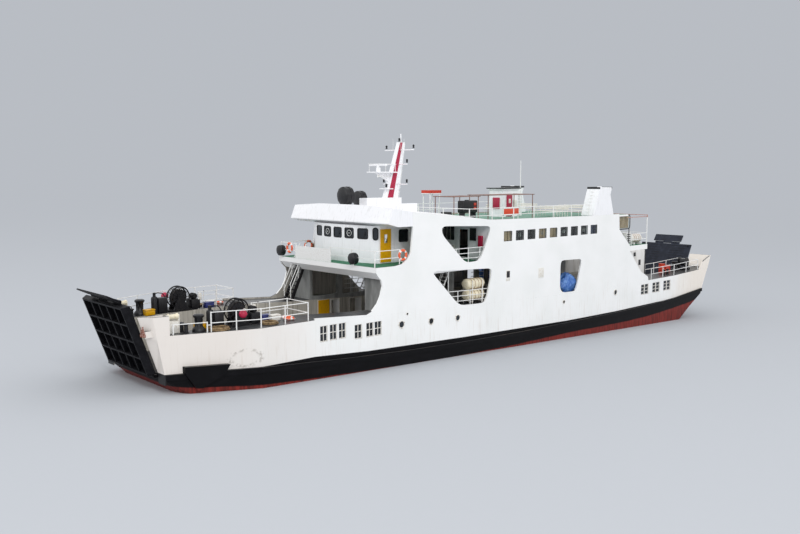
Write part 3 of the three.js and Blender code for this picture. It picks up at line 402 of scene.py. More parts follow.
def deck_enamel(name, light, dark):
    """Deck enamel with sand in it, worn paler where people walk, with a white edge and a
    blotchy grey underside, which is painted shade."""
    coat = Coat(name, 0.75)
    worn = coat.blotches(500, 5)
    top = coat.fade(worn, 0.3, 0.75, light, dark)
    # painted shade: the underside is drawn grey, blotched darker
    under = coat.fade(worn, 0.3, 0.75, "b4b4b1", "8a8985")
    level = coat.facing()["Z"]
    sides = coat.fade(level, -0.7, -0.9, "f4f4f3", under)
    # sand is under 1 mm, drawn 12 mm wide so that it shows
    return coat.done(coat.fade(level, 0.8, 0.95, sides, top), coat.blotches(12, 2), 1.0, 0.4)


def plain_enamel(name, code, code_worn, roughness=0.4, size_mm=80):
    """Enamel in one colour with faint wear."""
    coat = Coat(name, roughness)
    worn = coat.blotches(size_mm, 5)
    return coat.done(coat.fade(worn, 0.45, 0.8, code, code_worn), worn, 0.8, 0.3)


def gallery_enamel(name):
    """White rail enamel that has gone pinkish brown with rust above a height."""
    coat = Coat(name, 0.45)
    worn = coat.blotches(70, 5)
    rusty = coat.fade(worn, 0.35, 0.7, "a8756c", "cfa79c")
    return coat.done(coat.above(GALLERY_RUST, 0.01, "f0f0ee", rusty), worn, 0.8, 0.3)


def canopy_enamel(name):
    """Red enamel of the canopy's roof, with white enamel on its legs."""
    coat = Coat(name, 0.4)
    red = coat.fade(coat.blotches(80, 4), 0.4, 0.8, "c8381c", "a82c18")
    return coat.done(coat.above(CANOPY_ROOF, 0.002, "f0f0ee", red))


def brown_hemp(name):
    """Manila mooring rope: hairy brown yarns laid up slantwise, dirty from the deck."""
    coat = Coat(name, 0.95)
    # yarns are 4 mm wide, drawn 8 mm wide so that they show
    waves = coat.node("TexWave", coat.place, 39.0, 2.0, bands_direction="DIAGONAL")
    yarns = waves.outputs["Fac"]
    dry = coat.fade(coat.blotches(90, 4), 0.35, 0.7, "a98f68", "66513a")
    return coat.done(coat.stained(dry, "4a3a2a", yarns, 0.5), yarns, 3.0, 0.6)


def blue_tarpaulin(name):
    """Coated woven tarpaulin: bright blue with paler blue painted highlights along the creases,
    slightly shiny.
    """
    coat = Coat(name, 0.45)
    creases_and_highlights = coat.blotches(120, 6, (1, 1, 0.6), 0.7)
    # painted highlight: the paler blue; the same noise gives the creases' relief
    return coat.done(coat.fade(creases_and_highlights, 0.35, 0.7, "2f63b4", "6f9ad6"), creases_and_highlights, 14.0, 0.8)


def rusty_steel(name):
    """Anchor steel: pinkish primer going through to orange rust, rough as cast."""
    coat = Coat(name, 0.85)
    spots = coat.blotches(45, 6)
    return coat.done(coat.fade(spots, 0.42, 0.6, "a5817a", "7a4326"), spots, 2.5, 0.7)


def window_glass(name):
    """Float glass before a dark cabin: a mirror-smooth sheet whose dark colour is painted shade of
    the cabin behind it.
    """
    coat = Coat(name, 0.06, ior=1.52)
    return coat.done(coat.fade(coat.blotches(300, 2), 0.3, 0.7, "0d1116", "1c242c"))


def clear_glass(name):
    """Float glass of the saloon: clear, faintly green."""
    coat = Coat(name, 0.03, ior=1.45, Transmission_Weight=1.0, Specular_IOR_Level=0.3)
    return coat.done(coat.stained("dfe9e4", "eef4f1", coat.blotches(400, 2)))


def cotton(name, code, code_dark):
    """Plain-woven curtain cotton: soft, faded in the folds, with a sheen at the edges."""
    coat = Coat(name, 0.9, Sheen_Weight=0.3)
    colour = coat.fade(coat.blotches(160, 4, (1, 1, 0.3)), 0.3, 0.75, code, code_dark)
    # threads are under 1 mm, drawn 3 mm wide so that they show
    threads = coat.node("TexWave", coat.place, 105.0, 0.4, bands_direction="Z")
    return coat.done(colour, threads.outputs["Fac"], 0.4, 0.3)


def wire_rope(name):
    """Greased wire rope: dark strands laid up slantwise."""
    coat = Coat(name, 0.45, metallic=0.6)
    waves = coat.node("TexWave", coat.place, 26.0, 1.2, bands_direction="DIAGONAL")
    strands = waves.outputs["Fac"]
    dark = coat.fade(coat.blotches(60, 4), 0.4, 0.75, "1c1b1a", "4a3a2c")
    return coat.done(coat.stained(dark, "0f0f10", strands), strands, 2.0, 0.5)


def orange_foam(name):
    """Hard-skinned ring foam: orange, faded by sun, with a fine orange-peel grain."""
    coat = Coat(name, 0.55)
    colour = coat.fade(coat.blotches(90, 3), 0.3, 0.75, "e4552b", "ef7c52")
    return coat.done(colour, coat.blotches(4, 2), 0.3, 0.3)


def gasket_rubber(name):
    """Black rubber gasket: matt, and faintly blotched."""
    coat = Coat(name, 0.7)
    return coat.done(coat.stained("0f0f10", "1d1d1e", coat.blotches(20, 3)))


def propeller_bronze(name):
    """Cast propeller bronze: yellow metal, ground bright and tarnished brown."""
    coat = Coat(name, 0.35, metallic=1.0)
    return coat.done(coat.stained("b08646", "6e5330", coat.blotches(60, 5)))


# Materials that share a recipe: its maker, then fresh and worn colour,
# and for some enamels their roughness and the size of their blotches in mm
SHARED_RECIPES = {
    # sanded deck enamel: matt green, worn pale along the walks
    "saloon_deck_enamel": (deck_enamel, "1f6a48", "2c7a58"),
    "sun_deck_enamel": (deck_enamel, "7fa694", "5f8b78"),
    # enamels brushed on steel: one colour with a soft gloss, duller where they are older
    "yellow_enamel": (plain_enamel, "e2a800", "c99208"),
    "crimson_enamel": (plain_enamel, "b01840", "8f1434"),
    "rail_enamel": (plain_enamel, "f2f2f0", "d9d6cf", 0.3, 40),
    "red_enamel": (plain_enamel, "c8381c", "a82c18"),
    "black_enamel": (plain_enamel, "101014", "1e1e22", 0.45, 120),
    "blue_enamel": (plain_enamel, "2b3476", "222a5c"),
    "orange_enamel": (plain_enamel, "e24a2a", "c63c20"),
    "pale_grey_enamel": (plain_enamel, "c9cac8", "a9aaa7", 0.5, 90),
    "worn_brown_enamel": (plain_enamel, "8f7067", "5f4c48", 0.6, 60),
    "aged_white_enamel": (plain_enamel, "e9e6df", "c9c0ae", 0.4, 50),
    # gel coat of the raft canisters, chalky from the sun
    "cream_resin": (plain_enamel, "e9e0c6", "d2c29c", 0.35, 60),
    # curtains, each in one colour that has faded in the folds
    "tan_cotton": (cotton, "f0d2ae", "c9a680"),
    "brown_cotton": (cotton, "1d1718", "2e2526"),
    "blue_cotton": (cotton, "223f7e", "1a2c5c"),
    # woven straps round the canisters, matt and brown
    "tan_webbing": (cotton, "a8763f", "86562a"),
}
OWN_RECIPES = {maker.__name__: (maker,) for maker in (
    hull_enamel, topside_enamel, white_enamel, lane_enamel, gear_enamel, ramp_steel,
    navy_enamel, gallery_enamel, canopy_enamel, brown_hemp, blue_tarpaulin, rusty_steel,
    window_glass, clear_glass, wire_rope, orange_foam, gasket_rubber, propeller_bronze,
)}
RECIPES = {**OWN_RECIPES, **SHARED_RECIPES}


def paint(name):
    """The named material, made when it is first asked for."""
    maker, *values = RECIPES[name]
    return bpy.data.materials.get(name) or maker(name, *values)


def both(*names):
    """Names with each side before them."""
    return [f"{side}_{name}" for side in SIDES for name in names]


# Which finish each CAD solid takes
FINISHES = {
    "hull_enamel": ["hull", *both("fender", "rudder")],
    "topside_enamel": both(
        "side_casing", "bow_shoulder", "shell_forward", "shell_aft", "stern_bulwark",
    ),
    "lane_enamel": both("gallery_wall", "gallery_bulkhead"),
    "white_enamel": [
        "wheelhouse", "bridge_roof", "house_front_bulkhead", "house_aft_bulkhead",
        "mast", "radar_scanner", "deck_house", *both("funnel"),
    ],
    "saloon_deck_enamel": ["passenger_deck"],
    "sun_deck_enamel": ["sun_deck"],
    "rail_enamel": [
        "bridge_front_rail", "sun_deck_rail", "whip_mast", *both("fore_deck_rail", "aft_deck_rail"),
    ],
    "gear_enamel": ["bridge_stairs", *both("winch_frame", "winch_drum")],
    "gallery_enamel": ["aft_gallery"],
    "rusty_steel": both("anchor"),
    "ramp_steel": ["bow_ramp", "bow_flap"],
    "navy_enamel": ["stern_ramp", "stern_flap"],
    "yellow_enamel": both("bridge_door", "casing_door"),
    "cream_resin": both("life_raft_rack"),
    "canopy_enamel": ["canopy"],
    "propeller_bronze": both("propeller"),
}


# Mesh tools


def turned(direction):
    """Rotation that carries +Z onto a direction."""
    return Vector(direction).normalized().to_track_quat("Z", "Y").to_matrix().to_4x4()


def tag(verts, slot):
    """Gives the faces at these vertices their material."""
    for face in {f for v in verts for f in v.link_faces}:
        face.material_index = slot
    return verts


def add_block(bm, low, high, width=0.03, slot=0, segments=2):
    """Box between two corners, with its edges rounded over a width."""
    size = [b - a for a, b in zip(low, high)]
    middle = [(a + b) / 2 for a, b in zip(low, high)]
    where = Matrix.Translation(middle) @ Matrix.Diagonal((*size, 1))
    verts = tag(bmesh.ops.create_cube(bm, size=1, matrix=where)["verts"], slot)
    bmesh.ops.bevel(
        bm, geom=list(dict.fromkeys(e for v in verts for e in v.link_edges)),
        offset=width, segments=segments, profile=0.5,
        affect="EDGES", material=-1, clamp_overlap=True,
    )


def add_post(bm, x, y, half, foot, top, width=0.03, slot=0):
    """Block by its middle and half widths in plan, and the heights of its foot and top."""
    low = (x - half[0], y - half[1], foot)
    add_block(bm, low, (x + half[0], y + half[1], top), width, slot)


def add_tube(bm, start, end, radius, sides=8, end_radius=None, slot=0):
    """Closed tube between two places, which narrows where an end radius is given."""
    start, end = Vector(start), Vector(end)
    along = end - start
    made = bmesh.ops.create_cone(
        bm, cap_ends=True, segments=sides, radius1=radius,
        radius2=radius if end_radius is None else end_radius,
        depth=along.length, matrix=Matrix.Translation((start + end) / 2) @ turned(along),
    )
    return tag(made["verts"], slot)


def add_bar(bm, middle, reach, radius, sides=8, slot=0):
    """Tube that reaches as far to both sides of its middle."""
    add_tube(bm, Vector(middle) - reach, Vector(middle) + reach, radius, sides, slot=slot)


def edges_within(edges, verts):
    """The edges with both ends among these vertices."""
    verts = set(verts)
    return [e for e in edges if e.verts[0] in verts and e.verts[1] in verts]


def add_pipe(bm, points, radius, sides=8, closed=False, slot=0):
    """Tube swept along a line of points."""
    points = [Vector(p) for p in points]
    count = len(points)

    def direction(i):
        before = points[i - 1] if closed or i else points[0]
        after = points[(i + 1) % count] if closed or i < count - 1 else points[-1]
        return (after - before).normalized()

    heading = direction(0)
    turn = heading.to_track_quat("Z", "Y").to_matrix().to_4x4()
    ring = bmesh.ops.create_circle(
        bm, segments=sides, radius=radius, matrix=Matrix.Translation(points[0]) @ turn,
    )["verts"]
    made = list(ring)
    edges = first_edges = edges_within(bm.edges, ring)
    for i in range(1, count):
        new = bmesh.ops.extrude_edge_only(bm, edges=edges)["geom"]
        ring = [g for g in new if isinstance(g, bmesh.types.BMVert)]
        bend = heading.rotation_difference(direction(i))
        heading = direction(i)
        bmesh.ops.rotate(bm, cent=points[i - 1], matrix=bend.to_matrix(), verts=ring)
        bmesh.ops.translate(bm, vec=points[i] - points[i - 1], verts=ring)
        edges = edges_within([g for g in new if isinstance(g, bmesh.types.BMEdge)], ring)
        made += ring
    if closed:
        bmesh.ops.bridge_loops(bm, edges=edges + first_edges)
    else:
        bmesh.ops.edgeloop_fill(bm, edges=first_edges)
        bmesh.ops.edgeloop_fill(bm, edges=edges)
    return tag(made, slot)


def add_plate(bm, outline, thickness, slot=0):
    """Flat outline of 3-D points given a thickness along a vector."""
    face = bm.faces.new([bm.verts.new(p) for p in outline])
    grown = bmesh.ops.extrude_face_region(bm, geom=[face])["geom"]
    verts = [g for g in grown if isinstance(g, bmesh.types.BMVert)]
    bmesh.ops.translate(bm, vec=thickness, verts=verts)
    return tag(list(face.verts) + verts, slot)


def rounded(width, height, radius, steps=4):
    """Outline of a rounded rectangle about its middle."""
    points = []
    for sx, sy, start in ((1, 1, 0), (-1, 1, 90), (-1, -1, 180), (1, -1, 270)):
        for i in range(steps + 1):
            angle = math.radians(start + 90 * i / steps)
            points.append((
                sx * (width / 2 - radius) + radius * math.cos(angle),
                sy * (height / 2 - radius) + radius * math.sin(angle),
            ))
    return points


def spokes(count, start=0.0, level=False):
    """Unit vectors spread evenly round Y, or round Z when they lie level."""
    for i in range(count):
        angle = math.tau * i / count + start
        across, up = math.cos(angle), math.sin(angle)
        yield Vector((across, up, 0)) if level else Vector((across, 0, up))


def on_plane(points, middle, across, up):
    """Flat points as places on a plane through middle."""
    middle, across, up = Vector(middle), Vector(across), Vector(up)
    return [middle + across * a + up * b for a, b in points]


def add_window(bm, middle, across, size, radius, rim=0.03, gasket=1):
    """Upright pane with a gasket round it. across x up points out of the window."""
    across = Vector(across).normalized()
    out = across.cross(UP)
    outline = on_plane(rounded(*size, radius), middle, across, UP)
    add_plate(bm, [p - out * 0.03 for p in outline], out * 0.02, 0)
    add_pipe(bm, outline, rim, 6, True, gasket)


def add_ring(bm, middle, axis, radius, thickness, slot=0, count=24, sides=8):
    """Torus about an axis."""
    turn = turned(axis)
    points = [Vector(middle) + turn @ (v * radius) for v in spokes(count, level=True)]
    add_pipe(bm, points, thickness, sides, True, slot)


def add_lathe(bm, middle, axis, profile, slot=0, steps=24):
    """Profile of radius and height spun about an axis."""
    turn = Matrix.Translation(Vector(middle)) @ turned(axis)
    verts = [bm.verts.new(turn @ Vector((r, 0, h))) for r, h in profile]
    edges = [bm.edges.new(pair) for pair in zip(verts, verts[1:])]
    made = bmesh.ops.spin(
        bm, geom=verts + edges, cent=Vector(middle), axis=turn.to_3x3() @ UP,
        angle=math.tau, steps=steps, use_merge=True,
    )
    faces = {f for g in made["geom_last"] if isinstance(g, bmesh.types.BMVert)
             for f in g.link_faces}
    grown = set(faces)
    while faces:
        faces = {n for f in faces for e in f.edges for n in e.link_faces} - grown
        grown |= faces
    for face in grown:
        face.material_index = slot


def make_piece(bm, name, materials, body="ship", replaces=()):
    """Turns ship metres into the model's frame and hands the piece to its body."""
    bmesh.ops.recalc_face_normals(bm, faces=bm.faces)
    bmesh.ops.translate(bm, vec=(0, 0, -SINKAGE), verts=bm.verts)
    bmesh.ops.scale(bm, vec=(SCALE, SCALE, SCALE), verts=bm.verts)
    mesh = bpy.data.meshes.new(name)
    bm.to_mesh(mesh)
    bm.free()
    mesh.shade_smooth()
    mesh.set_sharp_from_angle(angle=SHARP_ANGLE)
    piece = bpy.data.objects.new(name, mesh)
    bpy.context.scene.collection.objects.link(piece)
    for finish in materials:
        mesh.materials.append(paint(finish))
    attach(piece, body)
    if replaces:
        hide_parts(*replaces)
    return piece


def hang_curtain(name, side, middle, size, cloth, columns, depth, waves, drift):
    """Cloth gathered along its rod in folds of some depth. waves is their phase over the
    width in radians, and drift how far, how fast and from where that phase sways."""
    bm = bmesh.new()
    bmesh.ops.create_grid(bm, x_segments=columns, y_segments=6, size=0.5)
    (x, away, z), (wide, high), (swing, pace, start) = middle, size, drift
    for vert in bm.verts:
        along, up = vert.co.x, vert.co.y
        wander = swing * math.sin(along * pace + start)
        fold = depth * math.sin(along * waves + wander) * (1.15 - 0.3 * up)
        vert.co = (x + along * wide, side * (away + fold), z + up * high)
    area = sum(face.calc_area() for face in bm.faces)
    piece = make_piece(bm, name, (cloth,))


# Stage and finishes


def add_lamp(scene, name, place, size, power):
    """Round area lamp that faces the ship."""
    data = bpy.data.lights.new(name, "AREA")
    data.energy, data.size, data.shape = power, size, "DISK"
    lamp = bpy.data.objects.new(name, data)
    lamp.location = place
    lamp.rotation_euler = (UP * 2 - Vector(place)).to_track_quat("-Z", "Y").to_euler()
    scene.collection.objects.link(lamp)


def add_camera(scene, sizes):
    """Camera without roll, at the place and angles of the settings."""
    yaw, pitch = sizes.camera_yaw, sizes.camera_pitch
    ahead = Vector((
        math.cos(pitch) * math.cos(yaw), math.cos(pitch) * math.sin(yaw), -math.sin(pitch),
    ))
    right = Vector((math.sin(yaw), -math.cos(yaw), 0))
    data = bpy.data.cameras.new("camera")
    data.lens, data.sensor_width, data.sensor_fit = sizes.lens, 36.0, "HORIZONTAL"
    data.clip_start, data.clip_end = 0.1, 2000.0
    camera = bpy.data.objects.new("camera", data)
    turn = Matrix((right, right.cross(ahead), -ahead)).transposed().to_4x4()
    camera.matrix_world = Matrix.Translation(Vector(sizes.camera_place)) @ turn
    scene.collection.objects.link(camera)
    scene.camera = camera


def add_floor(scene, sizes):
    """Floor at the waterline, which isn't level with the decks."""
    bm = bmesh.new()
    bmesh.ops.create_grid(bm, x_segments=1, y_segments=1, size=sizes.floor_size / 2)
    tilt = Matrix.Rotation(-math.atan(TRIM_SLOPE), 3, "Y")
    bmesh.ops.rotate(bm, cent=(0, 0, 0), verts=bm.verts, matrix=tilt)
    mesh = bpy.data.meshes.new("floor")
    bm.to_mesh(mesh)
    bm.free()
    floor = bpy.data.objects.new("floor", mesh)
    scene.collection.objects.link(floor)
    colour = (*sizes.floor_colour, 1)
    coat = Coat("floor_paint", 0.9, Specular_IOR_Level=0.0, Base_Color=colour)
    mesh.materials.append(coat.made)


def add_sky(scene, sizes):
    """Soft light from all round, and a plain backdrop."""
    world = scene.world or bpy.data.worlds.new("world")
    scene.world = world
    world.use_nodes = True
    tree = world.node_tree
    sky = tree.nodes["Background"]
    sky.inputs[0].default_value = (*sizes.sky_colour, 1)
    sky.inputs[1].default_value = sizes.sky_strength
    # the camera sees the far floor's own colour above it, so no horizon shows
    far = [a * b * sizes.sky_strength for a, b in zip(sizes.floor_colour, sizes.sky_colour)]
    backdrop = node(tree, "Background", (*far, 1))
    seen = node(tree, "LightPath").outputs["Is Camera Ray"]
    both_skies = node(tree, "MixShader", seen, sky, backdrop)
    connect(tree, both_skies, tree.nodes["World Output"].inputs["Surface"])


class FERRY_OT_stage(bpy.types.Operator):
    """Camera at the photograph's view, pale floor at the waterline and soft light"""

    bl_idname = "ferry.stage"
    bl_label = "Stage"

    def execute(self, context):
        scene, sizes = context.scene, context.scene.ferry_stage
        add_camera(scene, sizes)
        add_floor(scene, sizes)
        add_sky(scene, sizes)
        # without a film curve the enamels keep their whites and blacks
        scene.view_settings.view_transform = "Standard"
        add_lamp(scene, "key", (-30, -60, 45), size=26, power=16000.0)
        add_lamp(scene, "fill", (-70, 10, 30), size=20, power=5000.0)
        return {"FINISHED"}


class FERRY_OT_paintwork(bpy.types.Operator):
    """Finishes of the solids that the frame brings"""

    bl_idname = "ferry.paintwork"
    bl_label = "Paintwork"

    def execute(self, context):
        for finish, names in FINISHES.items():
            for name in names:
                mesh = NODES[name].data
                mesh.materials.clear()
                mesh.materials.append(paint(finish))
        return {"FINISHED"}


# Windows

# Front of the wheelhouse: distance from the centreline and X
BRIDGE_WALL = ((0.0, -14.0), (0.65, -14.0), (1.75, -13.9), (2.95, -13.6), (3.45, -13.35))
BRIDGE_WINDOWS = (-2.3, -1.15, 0.0, 1.15, 2.3)
# Bridge windows with a spinning screen, by their distance from the centreline
SCREEN_PLACE = 1.15
# Saloon windows: fore edge of the first, distance from each to the next, width and height
FIRST_WINDOW, WINDOW_PITCH, WINDOW_WIDTH, WINDOW_HEIGHT = -2.94, 1.367, 0.95, 0.73
SALOON_WINDOWS = [FIRST_WINDOW + WINDOW_PITCH * i + WINDOW_WIDTH / 2 for i in range(9)]
# Casing windows: fore edge, width, sill and head
CASING_WINDOWS = (
    (-19.52, 0.55, 3.25, 4.2), (-18.8, 0.55, 3.25, 4.2), (-18.12, 0.55, 3.25, 4.2),
    (-16.9, 0.6, 3.05, 3.95), (-15.97, 0.6, 3.05, 3.95), (-15.29, 0.6, 3.05, 3.95),
    (16.1, 1.3, 2.43, 3.35), (18.05, 1.3, 2.43, 3.35), (20.0, 1.3, 2.43, 3.35),
)
# Portholes in the side: x, z and radius
PORTHOLES = (
    (-13.01, 3.49, 0.23), (-10.32, 3.37, 0.22), (-7.74, 3.28, 0.21), (11.94, 3.09, 0.22),
    (4.54, 3.06, 0.14), (-12.5, 4.11, 0.08),
)


def bridge_window(bm, y):
    """Front window with its wiper, and with a spinning screen where there is one."""
    away, side = abs(y), (y > 0) - (y < 0)
    slope = (at_x(BRIDGE_WALL, away + 0.2) - at_x(BRIDGE_WALL, away - 0.2)) / 0.4
    across = Vector((-slope * side, -1, 0)).normalized()
    place = Vector((at_x(BRIDGE_WALL, away) + 0.01, y, 9.185))
    out = across.cross(UP)
    add_window(bm, place, across, (0.82, 0.66), 0.1, 0.035)
    if away == SCREEN_PLACE:
        add_ring(bm, place + out * 0.01, out, 0.2, 0.014, 2)
        add_tube(bm, place, place + out * 0.04, 0.03, 10, slot=2)
    foot = place + out * 0.04 - UP * 0.36
    tip = foot + across * 0.16 + UP * 0.4
    add_tube(bm, foot, tip, 0.01, 6, slot=1)
    add_tube(bm, tip - UP * 0.18, tip + UP * 0.1, 0.013, 6, slot=1)


class FERRY_OT_bridge_windows(bpy.types.Operator):
    """Panes, gaskets, wipers and spinning screens of the bridge"""

    bl_idname = "ferry.bridge_windows"
    bl_label = "Bridge windows"

    def execute(self, context):
        bm = bmesh.new()
        for y in BRIDGE_WINDOWS:
            bridge_window(bm, y)
        for side in SIDES.values():
            across = Vector((-0.25 * side, -0.5, 0)).normalized() * -side
            middle = Vector((-13.46, 3.235 * side, 9.2)) + across.cross(UP) * 0.035
            add_window(bm, middle, across, (0.36, 0.78), 0.16)
            for x in (-11.2, -10.0):
                add_window(bm, (x, 3.45 * side, 9.0), AFT * -side, (0.8, 0.8), 0.08)
        make_piece(
            bm, "bridge_glazing", ("window_glass", "gasket_rubber", "rail_enamel"),
        )
        return {"FINISHED"}


def casing_window(bm, side, left, width, sill, head):
    """Window of the casing behind its bars; the wide ones have two bars across."""
    x, face, is_wide = left + width / 2, side * 5.13, width > 1
    middle, size = (x, face, (sill + head) / 2), (width - 0.02, head - sill - 0.02)
    add_window(bm, middle, AFT * -side, size, 0.04, 0.035, 2)
    add_post(bm, x, face, (0.06 if is_wide else 0.02, 0.03), sill, head, 0.01, 2)
    for share in (0.34, 0.67) if is_wide else (0.5,):
        z = sill + (head - sill) * share
        add_block(bm, (left, face - 0.03, z - 0.02), (left + width, face + 0.03, z + 0.02), 0.01, 2)


def porthole(bm, side, x, z, radius):
    """Porthole in its ring, with three nuts and a hinge."""
    face, out = Vector((x, side * HALF_BEAM, z)), STARBOARD * side
    add_tube(bm, face - out * 0.01, face + out * 0.012, radius, 24)
    add_ring(bm, face + out * 0.012, out, radius, radius * 0.14, 1, 28)
    nut = ((0, 0.05), (radius * 0.09, 0.045), (radius * 0.11, 0.02), (radius * 0.11, 0))
    for spoke in spokes(3, 0.5):
        add_lathe(bm, face + spoke * radius * 1.05 + out * 0.01, out, nut, 2, 10)
    low = (x - radius * 1.35, face.y - 0.03, z - 0.04)
    add_block(bm, low, (x - radius * 1.02, face.y + 0.03, z + 0.04), 0.012, 1)


class FERRY_OT_side_windows(bpy.types.Operator):
    """Saloon windows, casing windows and portholes"""

    bl_idname = "ferry.side_windows"
    bl_label = "Side windows"

    def execute(self, context):
        for name, side in SIDES.items():
            bm = bmesh.new()
            for x in SALOON_WINDOWS:
                pane, size = (x, side * 5.16, 8.615), (WINDOW_WIDTH, WINDOW_HEIGHT)
                add_window(bm, pane, AFT * -side, size, 0.05, 0.022)
                add_post(bm, x, side * 5.15, (0.012, 0.02), 8.25, 8.98, 0.006, 1)
            make_piece(
                bm, f"{name}_saloon_glazing", ("clear_glass", "gasket_rubber"),
            )
            bm = bmesh.new()
            for window in CASING_WINDOWS:
                casing_window(bm, side, *window)
            make_piece(
                bm, f"{name}_casing_glazing",
                ("window_glass", "gasket_rubber", "aged_white_enamel"),
            )
            bm = bmesh.new()
            for hole in PORTHOLES:
                porthole(bm, side, *hole)
            make_piece(
                bm, f"{name}_portholes",
                ("window_glass", "aged_white_enamel", "propeller_bronze"),
            )
        return {"FINISHED"}


# Curtain cloth in each saloon window, and whether a fan stands in it
CURTAINS = (
    ("tan_cotton", False), ("brown_cotton", True), ("brown_cotton", False),
    ("tan_cotton", True), ("tan_cotton", False), ("brown_cotton", True),
    ("brown_cotton", False), ("brown_cotton", True), ("blue_cotton", False),
)


# Distance of the curtains and their rods from the centreline
CURTAIN_ROD = 4.97


def fan(bm, middle):
    """Round guard with its rings and spokes."""
    for radius in (0.06, 0.11, 0.16):
        add_ring(bm, middle, STARBOARD, radius, 0.006, 0, 20, 6)
    for spoke in spokes(8):
        add_tube(bm, middle, middle + spoke * 0.16, 0.005, 6)


class FERRY_OT_curtains(bpy.types.Operator):
    """Gathered curtains behind the saloon windows, with their rods and fans"""

    bl_idname = "ferry.curtains"
    bl_label = "Curtains"

    def execute(self, context):
        for name, side in SIDES.items():
            for index, (x, (cloth, _)) in enumerate(zip(SALOON_WINDOWS, CURTAINS)):
                hang_curtain(
                    f"{name}_curtain_{index + 1}", side, (x, CURTAIN_ROD, 8.6), (1.18, 0.92), cloth,
                    columns=72, depth=0.018, waves=64, drift=(0.6, 9, x),
                )
            bm = bmesh.new()
            first, last = SALOON_WINDOWS[0] - 0.7, SALOON_WINDOWS[-1] + 0.7
            rod = side * CURTAIN_ROD
            add_tube(bm, (first, rod, 9.07), (last, rod, 9.07), 0.015, 10)
            for x, (_, has_fan) in zip(SALOON_WINDOWS, CURTAINS):
                for end in (-0.62, 0.62):
                    low = (x + end - 0.015, side * 5.025 - 0.055, 9.05)
                    add_block(bm, low, (x + end + 0.015, side * 5.025 + 0.054, 9.09), 0.006)
                if has_fan:
                    fan(bm, Vector((x + 0.12, side * 5.06, 8.62)))
            make_piece(bm, f"{name}_curtain_rods", ("rail_enamel",))
        return {"FINISHED"}


# Gear of the fore deck

# Winch: x, distance from the centreline and height of its axle
WINCH = (-24.0, 3.4, 5.45)


def winch_reel(bm, middle):
    """Spoked drum with seven turns of wire on it."""
    for end in (-1, 1):
        flange = middle + STARBOARD * end * 0.205
        add_ring(bm, flange, STARBOARD, 0.655, 0.045, 0, 36)
        add_ring(bm, flange, STARBOARD, 0.56, 0.012, 0, 36, 6)
        add_bar(bm, flange, STARBOARD * 0.035, 0.15, 20)
        for spoke in spokes(12):
            add_tube(bm, flange, flange + spoke * 0.63, 0.026, 8, 0.018)
    add_bar(bm, middle, STARBOARD * 0.2, 0.44, 28)
    for i in range(7):
        turn = middle + STARBOARD * (-0.158 + 0.0525 * i)
        add_ring(bm, turn, (0, 1, 0.004), 0.47, 0.031, 1, 28, 6)
    add_bar(bm, middle, STARBOARD * 0.37, 0.06, 16)


def winch_motor(bm, middle, side):
    """Gearbox, finned motor, brake box and hand lever behind the drum."""
    x, y, z = middle
    x += 0.72
    inner = y - side * 0.3
    add_block(bm, (x, y - 0.4, z - 0.84), (x + 0.6, y + 0.4, z - 0.2), 0.05)
    add_lathe(
        bm, (x + 0.3, y - 0.3, z - 0.02), STARBOARD,
        ((0, 0), (0.15, 0), (0.17, 0.04), (0.17, 0.5), (0.14, 0.56), (0, 0.58)), 0, 20,
    )
    for i in range(7):
        fin = (x + 0.3, y - 0.22 + 0.06 * i, z - 0.02)
        add_ring(bm, fin, STARBOARD, 0.175, 0.01, 0, 20, 6)
    low = (x + 0.5, inner - 0.09, z - 0.3)
    add_block(bm, low, (x + 0.72, inner + 0.09, z + 0.15), 0.04, 1)
    add_tube(bm, (x + 0.8, inner, z - 0.8), (x + 0.9, inner, z + 0.25), 0.015, 8, slot=1)
    knob = ((0, -0.03), (0.03, -0.01), (0.03, 0.02), (0, 0.04))
    add_lathe(bm, (x + 0.9, inner, z + 0.25), UP, knob, 0, 12)


class FERRY_OT_winches(bpy.types.Operator):
    """Spoked winch drums with wire on them, and their motors"""

    bl_idname = "ferry.winches"
    bl_label = "Winches"

    def execute(self, context):
        for name, side in SIDES.items():
            middle = Vector((WINCH[0], WINCH[1] * side, WINCH[2]))
            bm = bmesh.new()
            winch_reel(bm, middle)
            drum = f"{name}_winch_drum"
            make_piece(
                bm, f"{name}_winch_reel", ("gear_enamel", "wire_rope"), drum, (drum,),
            )
            bm = bmesh.new()
            winch_motor(bm, middle, side)
            make_piece(
                bm, f"{name}_winch_motor", ("gear_enamel", "aged_white_enamel"),
            )
        return {"FINISHED"}


def canister(bm, start, length):
    """Life raft canister along X with its seam and lashings: slots 0 shell, 1 webbing."""
    half = (
        (0.0, 0.0), (0.23, 0.005), (0.31, 0.04), (0.36, 0.1), (0.378, 0.2), (0.366, 0.45),
        (0.378, 0.48), (0.378, 0.56), (0.366, 0.59), (0.383, 0.8),
    )
    back = tuple((r, length - h) for r, h in reversed(half))
    add_lathe(bm, start, AFT, half + back, 0, 28)
    seam = rounded(length * 0.96, 0.766, 0.2)
    add_pipe(bm, on_plane(seam, start + AFT * (length / 2), AFT, STARBOARD), 0.018, 6, True)
    for share in (0.23, 0.4, 0.6, 0.77):
        add_ring(bm, start + AFT * (share * length), AFT, 0.386, 0.012, 1, 28, 6)


